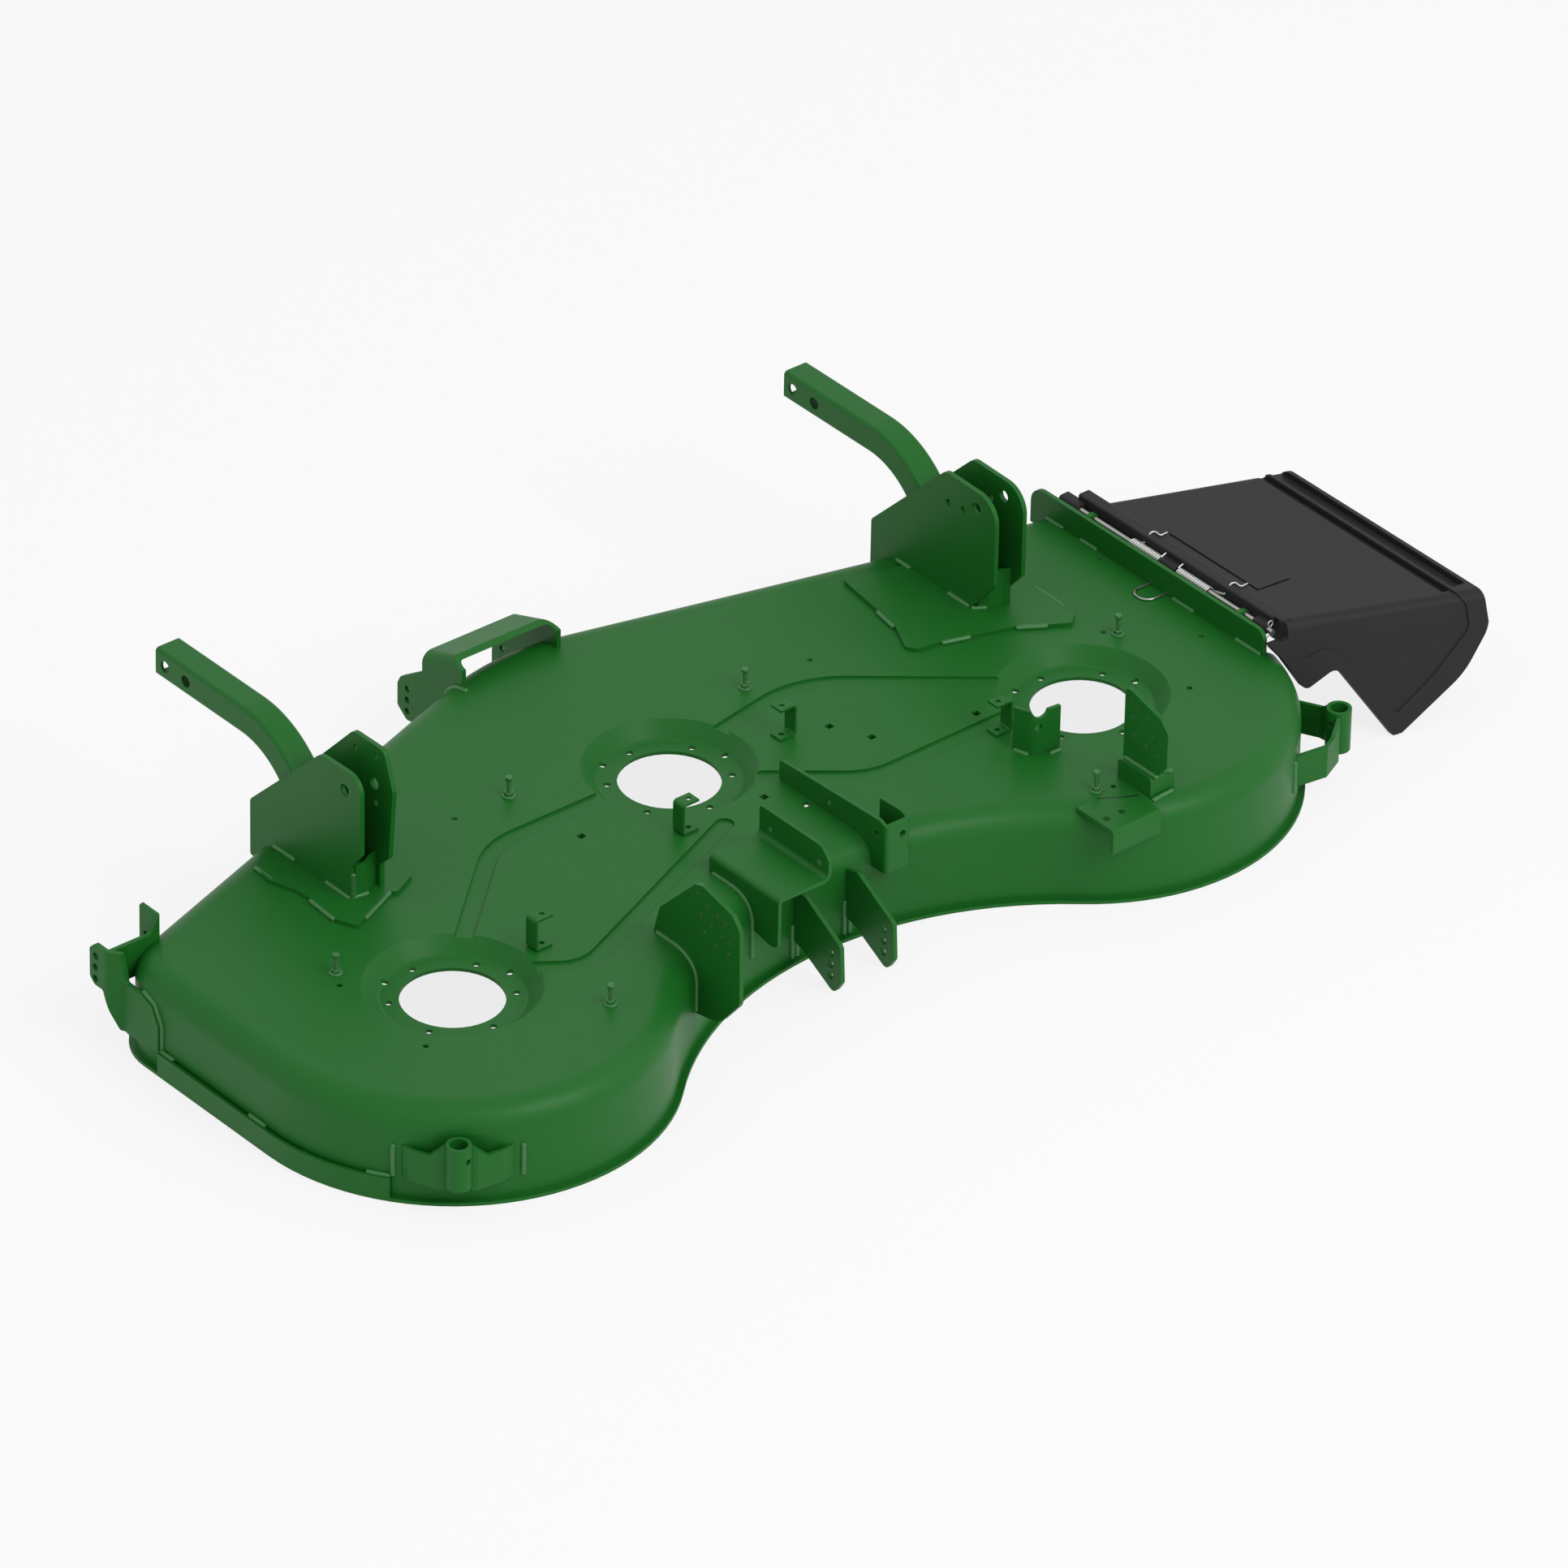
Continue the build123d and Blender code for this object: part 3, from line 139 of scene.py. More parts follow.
class Finish(Graph):
    """A procedural material."""

    def __init__(self, name):
        self.material = bpy.data.materials.new(name)
        self.material.use_nodes = True
        super().__init__(self.material.node_tree)
        self.tree.nodes.clear()
        self.place = self.node("ShaderNodeTexCoord", output="Object")

    def noise(self, scale, detail=2.0, roughness=0.5):
        """Noise over the object's own coordinates, scale in features per metre."""
        sockets = {"Vector": self.place, "Scale": scale, "Detail": detail, "Roughness": roughness}
        return self.node("ShaderNodeTexNoise", None, sockets)

    def blend(self, factor, first, second):
        """Mixes two colours."""
        sockets = {"Factor": factor, "A": first, "B": second}
        return self.node("ShaderNodeMix", {"data_type": "RGBA"}, sockets, "Result")

    def relief(self, edge_radius, height, strength, distance):
        """Normal of a surface with rounded edges and a fine unevenness."""
        edge = self.node("ShaderNodeBevel", {"samples": 4}, {"Radius": edge_radius})
        sockets = {"Strength": strength, "Distance": distance, "Height": height, "Normal": edge}
        return self.node("ShaderNodeBump", None, sockets)

    def surface(self, **sockets):
        """Ends the material in a Principled surface with these sockets."""
        named = {}
        for key, value in sockets.items():
            named[key.replace("_", " ").title().replace("Ior", "IOR")] = value
        shader = self.node("ShaderNodeBsdfPrincipled", None, named)
        self.node("ShaderNodeOutputMaterial", None, {"Surface": shader})
        return self.material


class Pattern(Graph):
    """A Geometry Nodes tree with named inputs."""

    def __init__(self, name, inputs):
        super().__init__(bpy.data.node_groups.new(name, "GeometryNodeTree"))
        interface = self.tree.interface
        interface.new_socket("Geometry", in_out="INPUT", socket_type="NodeSocketGeometry")
        interface.new_socket("Geometry", in_out="OUTPUT", socket_type="NodeSocketGeometry")
        self.identifiers = {}
        for label, kind in inputs.items():
            socket = interface.new_socket(label, in_out="INPUT", socket_type=kind)
            self.identifiers[label] = socket.identifier
        self.entry = self.tree.nodes.new("NodeGroupInput")

    def given(self, label):
        """Signal of one of the tree's inputs."""
        return Signal(self, self.entry.outputs[label])

    def tube(self, curve, diameter, sides=10):
        """Round wire along a curve."""
        profile = self.node(
            "GeometryNodeCurvePrimitiveCircle", None, {"Resolution": sides, "Radius": diameter / 2.0},
        )
        sockets = {"Curve": curve, "Profile Curve": profile, "Fill Caps": True}
        return self.node("GeometryNodeCurveToMesh", None, sockets)

    def bent(self, geometry, radius):
        """Curve along the mesh's edges, with its corners rounded."""
        curve = self.node("GeometryNodeMeshToCurve", None, {"Mesh": geometry})
        sockets = {"Curve": curve, "Radius": radius, "Count": 5, "Limit Radius": True}
        return self.node("GeometryNodeFilletCurve", {"mode": "POLY"}, sockets)

    def helix(self, radius, length, rotations, resolution):
        """Curve that winds upwards from the origin."""
        return self.node("GeometryNodeCurveSpiral", None, {
            "Resolution": resolution, "Rotations": rotations, "Start Radius": radius, "End Radius": radius,
            "Height": length,
        })

    def form_of(self, label):
        """Geometry of the object that is given to one of the tree's inputs."""
        return self.node("GeometryNodeObjectInfo", None, {"Object": self.given(label)}, "Geometry")

    def copies(self, points, form, **placing):
        """A copy of a form at each point, turned and sized as placing says."""
        sockets = {"Points": points, "Instance": form, **placing}
        return self.node("GeometryNodeInstanceOnPoints", None, sockets)

    def joined(self, *parts):
        """Several geometries as one."""
        return self.node("GeometryNodeJoinGeometry", None, {"Geometry": list(parts)})

    def close(self, geometry, material, smooth=False):
        """Ends the tree: smooth faces where wanted, real instances and one material."""
        if smooth:
            geometry = self.node("GeometryNodeSetShadeSmooth", None, {"Geometry": geometry})
        real = self.node("GeometryNodeRealizeInstances", None, {"Geometry": geometry})
        dressed = self.node("GeometryNodeSetMaterial", None, {"Geometry": real, "Material": material})
        leave = self.tree.nodes.new("NodeGroupOutput")
        self.feed(leave.inputs["Geometry"], dressed)

    def grow(self, name, source, values):
        """Runs the tree on a source mesh and returns the result as a plain mesh object."""
        carrier = link_object(f"{name}_carrier", source)
        modifier = carrier.modifiers.new("pattern", "NODES")
        modifier.node_group = self.tree
        for label, value in values.items():
            modifier[self.identifiers[label]] = value
        evaluated = carrier.evaluated_get(bpy.context.evaluated_depsgraph_get())
        mesh = bpy.data.meshes.new_from_object(evaluated)
        bpy.data.objects.remove(carrier)
        if not mesh.polygons:
            raise RuntimeError(f"{name} came out with no faces")
        return link_object(name, mesh)


def link_object(name, data):
    """Adds an object at the origin to the scene."""
    made = bpy.data.objects.new(name, data)
    bpy.context.scene.collection.objects.link(made)
    return made


def path_mesh(name, routes):
    """Mesh of loose edges that run along the given routes."""
    points = [tuple(point) for route in routes for point in route]
    edges = []
    start = 0
    for route in routes:
        edges += [(start + step, start + step + 1) for step in range(len(route) - 1)]
        start += len(route)
    mesh = bpy.data.meshes.new(name)
    mesh.from_pydata(points, edges, [])
    return mesh


def point_mesh(name, points):
    """Mesh of loose points."""
    mesh = bpy.data.meshes.new(name)
    mesh.from_pydata(points, [], [])
    return mesh


def mesh_of(name, shape):
    """Ends a mesh under construction and gives it a name."""
    mesh = bpy.data.meshes.new(name)
    shape.to_mesh(mesh)
    shape.free()
    return mesh


def in_metres(*points):
    """Points that are written in millimetres."""
    return [Vector(point) * 0.001 for point in points]


def surface_of(name):
    """Search tree over a CAD node's mesh, to lay pieces on it."""
    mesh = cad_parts[name].data
    corners = [vertex.co for vertex in mesh.vertices]
    return BVHTree.FromPolygons(corners, [tuple(face.vertices) for face in mesh.polygons])


def touch(surface, start, direction):
    """Where a straight line from start first meets a surface."""
    hit = surface.ray_cast(start, direction)[0]
    if hit is None:
        raise RuntimeError(f"no surface beyond {tuple(start)}")
    return hit


def dress(nodes, material):
    """Gives CAD nodes a material, in the slots that they have."""
    for name in nodes:
        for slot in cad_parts[name].material_slots:
            slot.material = material


# Settings

class StageSettings(bpy.types.PropertyGroup):
    """Floor, light and camera."""

    floor_colour: FloatVectorProperty(
        name="Floor Colour", description="Colour of the plain floor", subtype="COLOR",
        default=(0.86, 0.86, 0.86), min=0.0, max=1.0,
    )
    floor_glow: FloatProperty(
        name="Floor Glow", description="How much of the floor's white is its own, where a camera sees it",
        default=0.82, min=0.0, max=1.0,
    )
    key_power: FloatProperty(
        name="Key Power", description="Power of the large soft lamp", unit="POWER", default=170.0, min=0.0,
    )
    sky_strength: FloatProperty(
        name="Sky Strength", description="Strength of the even light from all round", default=0.66, min=0.0,
    )
    camera_distance: FloatProperty(
        name="Camera Distance", description="From the aim point to the camera", unit="LENGTH",
        default=17.478, min=1.0,
    )


class PaintSettings(bpy.types.PropertyGroup):
    """Green enamel on the steel."""

    colour: FloatVectorProperty(
        name="Paint Colour", description="Colour of the enamel", subtype="COLOR",
        default=(0.007, 0.124, 0.012), min=0.0, max=1.0,
    )
    thin_colour: FloatVectorProperty(
        name="Thin Paint Colour", description="Colour where the enamel lies thinner", subtype="COLOR",
        default=(0.010, 0.142, 0.015), min=0.0, max=1.0,
    )
    peel_scale: FloatProperty(
        name="Peel Scale", description="Orange peel ripples per metre", default=260.0, min=1.0,
    )
    edge_radius: FloatProperty(
        name="Edge Radius", description="Rounding that the paint gives to sheet edges", unit="LENGTH",
        default=0.0009, min=0.0,
    )


class PlasticSettings(bpy.types.PropertyGroup):
    """Moulded black plastic of the chute."""

    colour: FloatVectorProperty(
        name="Plastic Colour", description="Colour of the moulding", subtype="COLOR",
        default=(0.018, 0.018, 0.019), min=0.0, max=1.0,
    )
    grain_scale: FloatProperty(
        name="Grain Scale", description="Grain cells per metre", default=900.0, min=1.0,
    )


class ZincSettings(bpy.types.PropertyGroup):
    """Plated wire and rod."""

    colour: FloatVectorProperty(
        name="Zinc Colour", description="Colour of the plating", subtype="COLOR",
        default=(0.44, 0.44, 0.42), min=0.0, max=1.0,
    )


class WeldSettings(bpy.types.PropertyGroup):
    """Fillet welds along the bracket feet."""

    bead_width: FloatProperty(
        name="Bead Width", description="Width of a bead", unit="LENGTH", default=0.0082, min=0.001,
    )
    ripple_pitch: FloatProperty(
        name="Ripple Pitch", description="From one ripple to the next", unit="LENGTH",
        default=0.0032, min=0.001,
    )
    seed: IntProperty(name="Seed", description="Seed of the ripples' variation", default=7)


class SpringSettings(bpy.types.PropertyGroup):
    """Torsion springs round the hinge rod."""

    wire_diameter: FloatProperty(
        name="Wire Diameter", description="Diameter of the spring wire", unit="LENGTH",
        default=0.0024, min=0.0005,
    )
    coil_gap: FloatProperty(
        name="Coil Gap", description="Clear gap between turns", unit="LENGTH", default=0.0012, min=0.0,
    )
    coil_diameter: FloatProperty(
        name="Coil Diameter", description="Mean diameter of the coil", unit="LENGTH", default=0.0123,
        min=0.005,
    )
    stub_height: FloatProperty(
        name="Stub Height", description="Height of the bent stubs above the chute's top", unit="LENGTH",
        default=0.0016, min=0.0,
    )
    pin_diameter: FloatProperty(
        name="Split Pin Wire", description="Diameter of the split pin's wire", unit="LENGTH",
        default=0.0014, min=0.0005,
    )


class StudSettings(bpy.types.PropertyGroup):
    """Cover studs and their flange nuts."""

    thread_pitch: FloatProperty(
        name="Thread Pitch", description="Pitch of the stud's thread", unit="LENGTH",
        default=0.00125, min=0.0005,
    )
    thread_length: FloatProperty(
        name="Thread Length", description="Length of thread above the nut", unit="LENGTH",
        default=0.0155, min=0.001,
    )
    thread_diameter: FloatProperty(
        name="Thread Diameter", description="Pitch diameter of the thread", unit="LENGTH",
        default=0.0056, min=0.001,
    )


# Finishes

DRIFT_SCALE = 5.0
CLOUD_SCALE = 38.0
PEEL_HEIGHT = 0.0006
SCUFF_SCALE = 14.0
SCUFF_SHADE = 1.35
GRAIN_HEIGHT = 0.0004
MOULDED_EDGE_RADIUS = 0.0012
BRUSHING_SCALE = 160.0
BRUSHING_SHADE = 0.78
# Painted shadow of the chute's L-shaped groove: a near-black colour laid in a band along it, placed by the
# numbers below in metres.
GROOVE_SHADOW_COLOUR = (0.002, 0.002, 0.002, 1.0)
GROOVE_X = 0.779
GROOVE_Y = -0.1855
GROOVE_HALF_WIDTH = 0.0026
GROOVE_TAIL_HALF_WIDTH = 0.0018
GROOVE_RUN = (-0.1030, 0.0835)
GROOVE_TAIL = (0.8040, 0.0260)


def shade(colour, factor=1.0):
    """Colour with its alpha, lighter or darker by a factor."""
    return (*[part * factor for part in colour], 1.0)


def paint_finish(settings):
    """Green enamel: slight drift of colour, orange peel and rounded edges."""
    finish = Finish("green_paint")
    drift = finish.noise(DRIFT_SCALE, 3.0)
    cloud = finish.noise(CLOUD_SCALE, 4.0)
    peel = finish.noise(settings.peel_scale, 1.0)
    colour = finish.blend(drift * 0.7 + cloud * 0.3, shade(settings.colour), shade(settings.thin_colour))
    bumped = finish.relief(settings.edge_radius, peel, 0.10, PEEL_HEIGHT)
    return finish.surface(
        base_color=colour, roughness=0.42 + cloud * 0.10, normal=bumped, specular_ior_level=0.22,
        coat_weight=0.04, coat_roughness=0.20,
    )


def plastic_finish(settings):
    """Black moulded plastic with a fine grain, faint scuffing and a painted shadow along the L-shaped groove
    of the chute's top.
    """
    finish = Finish("black_plastic")
    grain = finish.noise(settings.grain_scale, 2.0)
    scuff = finish.noise(SCUFF_SCALE, 5.0, 0.6)
    worn = finish.blend(scuff, shade(settings.colour), shade(settings.colour, SCUFF_SHADE))
    # Painted shadow: the groove's band is coloured near-black over the scuffed plastic.
    colour = finish.blend(chute_groove_shadow(finish), worn, GROOVE_SHADOW_COLOUR)
    bumped = finish.relief(MOULDED_EDGE_RADIUS, grain, 0.25, GRAIN_HEIGHT)
    return finish.surface(
        base_color=colour, roughness=0.46 + scuff * 0.12, normal=bumped, specular_ior_level=0.18,
    )


def chute_groove_shadow(finish):
    """Mask of painted shadow: one in a band along the L-shaped groove of the chute's top, where the groove's
    own shadow is painted near-black.
    """
    x = finish.node("ShaderNodeSeparateXYZ", None, {0: finish.place})
    y = x.beside("Y")
    along = within(x, GROOVE_X, GROOVE_HALF_WIDTH) * within(y, *GROOVE_RUN)
    across = within(y, GROOVE_Y, GROOVE_TAIL_HALF_WIDTH) * within(x, *GROOVE_TAIL)
    return finish.node("ShaderNodeMath", {"operation": "MAXIMUM"}, {0: along, 1: across})


def within(signal, middle, half):
    """One where a signal is no further than half from a middle value."""
    return signal.graph.node("ShaderNodeMath", {"operation": "COMPARE"}, {0: signal, 1: middle, 2: half})


def zinc_finish(settings):
    """Bright zinc plating with a brushed drift."""
    finish = Finish("zinc_wire")
    brushing = finish.noise(BRUSHING_SCALE, 3.0)
    colour = finish.blend(brushing, shade(settings.colour), shade(settings.colour, BRUSHING_SHADE))
    return finish.surface(base_color=colour, metallic=1.0, roughness=0.24 + brushing * 0.16)


class DECK_OT_finishes(bpy.types.Operator):
    """Green enamel on the steel, black plastic on the chute and zinc on the wire parts"""

    bl_idname = "mower_deck.finishes"
    bl_label = "Apply Finishes"

    def execute(self, context):
        scene = context.scene
        paint = paint_finish(scene.deck_paint)
        plastic = plastic_finish(scene.deck_plastic)
        zinc = zinc_finish(scene.deck_zinc)
        dress(PLASTIC_NODES, plastic)
        dress(ZINC_NODES, zinc)
        others = set(PLASTIC_NODES + ZINC_NODES)
        dress([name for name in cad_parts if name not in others], paint)
        return {"FINISHED"}


# Stage

WHITE = (1.0, 1.0, 1.0, 1.0)
FLOOR_HALF = 30.0
KEY_SIZE = 4.0
KEY_PLACE = (0.9, -5.0, 4.6)
KEY_TARGET = (0.1, 0.0, 0.0)
SENSOR_WIDTH = 36.0
FOCAL_LENGTH = 332.9
VIEW_LIMIT = 100.0
VIEW_TARGET = (0.1037, -0.0915, -0.0010)
VIEW_DIRECTION = (0.5437, 0.6391, -0.5441)
VIEW_ROLL = 1.20


class DECK_OT_stage(bpy.types.Operator):
    """Floor, soft studio light and the camera"""

    bl_idname = "mower_deck.stage"
    bl_label = "Build Stage"

    def execute(self, context):
        settings = context.scene.deck_stage
        self.floor(settings)
        self.light(context.scene, settings)
        self.camera(context.scene, settings)
        context.scene.view_settings.view_transform = "Standard"
        return {"FINISHED"}

    def floor(self, settings):
        mesh = bpy.data.meshes.new("floor")
        corners = [(x * FLOOR_HALF, y * FLOOR_HALF) for x, y in ((-1, -1), (1, -1), (1, 1), (-1, 1))]
        mesh.from_pydata([(x, y, CAD_BOX[0][2]) for x, y in corners], [], [(0, 1, 2, 3)])
        finish = Finish("floor")
        grey = finish.node("ShaderNodeBsdfDiffuse", None, {"Color": shade(settings.floor_colour)})
        glow = finish.node("ShaderNodeEmission", None, {"Color": WHITE, "Strength": 1.0})
        seen = looked_at(finish) * settings.floor_glow
        mixed = finish.node("ShaderNodeMixShader", None, {0: seen, 1: grey, 2: glow})
        finish.node("ShaderNodeOutputMaterial", None, {"Surface": mixed})
        mesh.materials.append(finish.material)
        link_object("floor", mesh)

    def light(self, scene, settings):
        lamp = bpy.data.lights.new("key", "AREA")
        lamp.shape = "DISK"
        lamp.size = KEY_SIZE
        lamp.energy = settings.key_power
        key = link_object("key", lamp)
        key.matrix_world = aim(Vector(KEY_PLACE), Vector(KEY_TARGET))
        world = bpy.data.worlds.new("studio")
        scene.world = world
        world.use_nodes = True
        world.node_tree.nodes.clear()
        sky = Graph(world.node_tree)
        strength = looked_at(sky) * (1.0 - settings.sky_strength) + settings.sky_strength
        light = sky.node("ShaderNodeBackground", None, {"Color": WHITE, "Strength": strength})
        sky.node("ShaderNodeOutputWorld", None, {"Surface": light})

    def camera(self, scene, settings):
        lens = bpy.data.cameras.new("view")
        lens.sensor_width = SENSOR_WIDTH
        lens.lens = FOCAL_LENGTH
        lens.clip_end = VIEW_LIMIT
        view = link_object("view", lens)
        target = Vector(VIEW_TARGET)
        back = -Vector(VIEW_DIRECTION).normalized()
        roll = Matrix.Rotation(math.radians(VIEW_ROLL), 4, "Z")
        view.matrix_world = aim(target + back * settings.camera_distance, target) @ roll
        scene.camera = view


def looked_at(graph):
    """One for rays that show the surroundings: straight to the camera, mirrored, or through glass."""
    camera = graph.node("ShaderNodeLightPath", output="Is Camera Ray")
    return camera + camera.beside("Is Glossy Ray") + camera.beside("Is Transmission Ray")


def aim(place, target):
    """Matrix that stands at place and looks at target, level."""
    turn = (target - place).to_track_quat("-Z", "Y")
    return Matrix.Translation(place) @ turn.to_matrix().to_4x4()


# Welds

HINGE_PLATE_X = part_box("hinge_plate")[0].x
DOUBLER_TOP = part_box("left_doubler_plate")[1].z
IDLER_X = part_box("idler_plate")[0].x
IDLER_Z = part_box("idler_plate")[0].z
SKIRT_REACH = 0.5
SHOULDER_REACH = 0.3
RIPPLE_LEAST = (0.90, 0.90, 0.60)
RIPPLE_MOST = (0.99, 0.99, 0.74)
CORE_SHARE = 0.9

# The numbers below are in millimetres and degrees. A stitch is x, y, far x and far y. A stitch on the skirt
# is a lobe's middle, a bearing, its foot and its top. A crossing is a hub's x and y and two elevations.
HINGE_PLATE_STITCHES = [(-250, -208), (-126, -91), (56, 83), (120, 148)]
DOUBLER_EDGE_STITCHES = [
    (-526, -14, -523, 33), (-494, -35, -440, -11), (-531, 98, -530, 130),
    (413, 72, 419, 108), (437, 6, 470, -4), (531, -24, 561, -43), (607, -20, 607, 30),
]
DOUBLER_BEAD_RISE = 2
HANGER_FOOT_STITCHES = [
    (-486, 8, -486, 49), (-486, 112, -486, 150), (-482, 5, -463, 2), (-435, 12, -435, 50),
    (513, 160, 513, 182), (513, 48, 513, 84), (514, 40, 527, 32), (565, 50, 565, 90),
]
HANGER_CORNER = (-482, 5)
HANGER_CORNER_HEIGHT = 32
POST_FOOT_STITCHES = [(351, -230, 356, -246), (381, -262, 393, -263)]
IDLER_FOOT_STITCH = (-411, -357)
IDLER_CORNER = ((428, -401), (441, -411))
IDLER_BASE = ((413, -414), (427, -414), (441, -414))
IDLER_BASE_START = 100
LEFT_LOBE = (-500, -207)
RIGHT_LOBE = (500, -181)
SKIRT_STITCHES = [
    (LEFT_LOBE, -143.6, -74, -34), (LEFT_LOBE, -110.6, -74, -34), (RIGHT_LOBE, -55.0, -74, -34),
    (RIGHT_LOBE, -22.6, -74, -34),
]
SKIRT_STEPS = 4
REAR_EAR_SIDES = [-33, -25, 49, 57]
REAR_EAR_WELD_HEIGHTS = [-100, -85, -70, -55]
REAR_EAR_START = -450
ROLLER_BRACKET_SIDES = [corner.x * 1000 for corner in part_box("front_roller_bracket")]
SHOULDER_CROSSINGS = [
    (-240.5, -300, 60, 207), (-107.5, -235, 68, 212), (-233.5, -300, 60, 200),
    (ROLLER_BRACKET_SIDES[0], 270, 75, -25), (ROLLER_BRACKET_SIDES[1], 285, 75, -25),
]
SHOULDER_HUB_HEIGHT = -30
SHOULDER_STEPS = 14
BAND_STRAIGHT_X = -769.5
BAND_RADIUS = 269.5
BAND_STRAIGHT_STITCHES = [(-18, 3), (-193, -166)]
BAND_ARC_BEARINGS = (-150, -148, -146, -144.6)
GUSSET_EDGE = [(-768, 5, -73), (-768, 5, -42), (-768, 18, -17), (-768, 39, -10)]


def level_stitches(spans, height):
    """Straight stitches at one height."""
    return [in_metres((x, y, height), (far_x, far_y, height)) for x, y, far_x, far_y in spans]


def top_stitches():
    """Stitches on the flat top and on the doubler plates, where the uprights stand on them."""
    plate_x = HINGE_PLATE_X * 1000
    top = DECK_TOP * 1000
    doubler = DOUBLER_TOP * 1000
    routes = level_stitches([(plate_x, rear, plate_x, front) for rear, front in HINGE_PLATE_STITCHES], top)
    routes += level_stitches(DOUBLER_EDGE_STITCHES, top + DOUBLER_BEAD_RISE)
    routes += level_stitches(HANGER_FOOT_STITCHES, doubler)
    routes += level_stitches(POST_FOOT_STITCHES, top)
    routes.append(in_metres((*HANGER_CORNER, doubler), (*HANGER_CORNER, doubler + HANGER_CORNER_HEIGHT)))
    return routes


def idler_stitches(shell):
    """Stitches along the idler plate's near edge, round its rear corner and under its foot."""
    plate_x = IDLER_X * 1000
    height = IDLER_Z * 1000
    rear, front = IDLER_FOOT_STITCH
    start, end = IDLER_CORNER
    down = Vector((0.0, 0.0, -1.0))
    above = in_metres(*[(x, y, IDLER_BASE_START) for x, y in IDLER_BASE])
    base = [touch(shell, point, down) for point in above]
    return [
        in_metres((plate_x, rear, height), (plate_x, front, height)),
        in_metres((*start, height), (*end, height)), base,
    ]


def upright_stitches(shell):
    """Stitches that run up the skirt, each at a bearing from the middle of one of the deck's lobes."""
    routes = []
    for middle, bearing, low, high in SKIRT_STITCHES:
        turn = math.radians(bearing)
        outward = Vector((math.cos(turn), math.sin(turn), 0.0))
        heights = [low + (high - low) * step / SKIRT_STEPS for step in range(SKIRT_STEPS + 1)]
        starts = [foot + outward * SKIRT_REACH for foot in in_metres(*[(*middle, z) for z in heights])]
        routes.append([touch(shell, start, -outward) for start in starts])
    for x in REAR_EAR_SIDES:
        starts = in_metres(*[(x, REAR_EAR_START, height) for height in REAR_EAR_WELD_HEIGHTS])
        routes.append([touch(shell, start, Vector((0.0, 1.0, 0.0))) for start in starts])
    return routes


def shoulder_welds(shell):
    """Beads over the rounded shoulder, where upright plates cross it, by elevation about a point inside."""
    routes = []
    for x, y, first, last in SHOULDER_CROSSINGS:
        hub = in_metres((x, y, SHOULDER_HUB_HEIGHT))[0]
        route = []
        for step in range(SHOULDER_STEPS + 1):
            turn = math.radians(first + (last - first) * step / SHOULDER_STEPS)
            outward = Vector((0.0, math.cos(turn), math.sin(turn)))
            route.append(touch(shell, hub + outward * SHOULDER_REACH, -outward))
        routes.append(route)
    return routes


def band_stitches():
    """Stitches between the wear band's top edge and the skirt, and down the roller gusset's edge."""
    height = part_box("side_wear_band")[1].z * 1000
    straight = [(BAND_STRAIGHT_X, rear, BAND_STRAIGHT_X, front) for rear, front in BAND_STRAIGHT_STITCHES]
    arc = []
    for bearing in BAND_ARC_BEARINGS:
        turn = math.radians(bearing)
        arc.append((
            LEFT_LOBE[0] + BAND_RADIUS * math.cos(turn), LEFT_LOBE[1] + BAND_RADIUS * math.sin(turn), height,
        ))
    return level_stitches(straight, height) + [in_metres(*arc), in_metres(*GUSSET_EDGE)]


def weld_pattern(material):
    """Tree that lays overlapping ripples on a core bead along each route."""
    pattern = Pattern("weld_ripples", {
        "Bead Width": "NodeSocketFloat", "Ripple Pitch": "NodeSocketFloat", "Seed": "NodeSocketInt",
    })
    width = pattern.given("Bead Width")
    route = pattern.node("GeometryNodeMeshToCurve", None, {"Mesh": pattern.given("Geometry")})
    along = {"Curve": route, "Length": pattern.given("Ripple Pitch")}
    places = pattern.node("GeometryNodeCurveToPoints", {"mode": "LENGTH"}, along, "Points")
    ripple = pattern.node(
        "GeometryNodeMeshUVSphere", None, {"Segments": 8, "Rings": 5, "Radius": width / 2.0}, "Mesh",
    )
    uneven = pattern.node(
        "FunctionNodeRandomValue", {"data_type": "FLOAT_VECTOR"},
        {"Min": RIPPLE_LEAST, "Max": RIPPLE_MOST, "Seed": pattern.given("Seed")}, "Value",
    )
    ripples = pattern.copies(places, ripple, Rotation=places.beside("Rotation"), Scale=uneven)
    core = pattern.tube(route, width * CORE_SHARE, 8)
    pattern.close(pattern.joined(ripples, core), material, smooth=True)
    return pattern


class DECK_OT_welds(bpy.types.Operator):
    """Painted fillet welds where the brackets stand on the deck"""

    bl_idname = "mower_deck.welds"
    bl_label = "Lay Welds"

    def execute(self, context):
        settings = context.scene.deck_welds
        shell = surface_of("deck_shell")
        routes = top_stitches() + idler_stitches(shell) + band_stitches()
        routes += upright_stitches(shell) + shoulder_welds(shell)
        pattern = weld_pattern(bpy.data.materials["green_paint"])
        welds = pattern.grow("weld_beads", path_mesh("welds", routes), {
            "Bead Width": settings.bead_width, "Ripple Pitch": settings.ripple_pitch, "Seed": settings.seed,
        })
        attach(welds, "deck")
        return {"FINISHED"}


# Hinge springs and split pin

ROD_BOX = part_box("hinge_rod")
ROD_AXIS = (ROD_BOX[0] + ROD_BOX[1]) / 2
COIL_SPANS = {"front": (-0.048, 0.008), "rear": (-0.139, -0.080)}
LEG_START = (0.001, 0.004)
LEG_BEND = 1.2
STUB_STARTS = {"front": -0.008, "rear": -0.158}
STUB_BENDS = [(0.759, 0.0), (0.765, -0.001), (0.7635, -0.013), (0.7768, -0.010)]
STUB_SEARCH_HEIGHT = 0.05
HOOK_BENDS = [(0.0, 0.0), (0.0035, 0.0018), (0.0075, 0.0030)]
PIN_BEND_RADIUS = 0.0016
PIN_GUARD = ((0.7600, -0.2640, 0.0225), (0.7620, -0.2310, 0.0570))

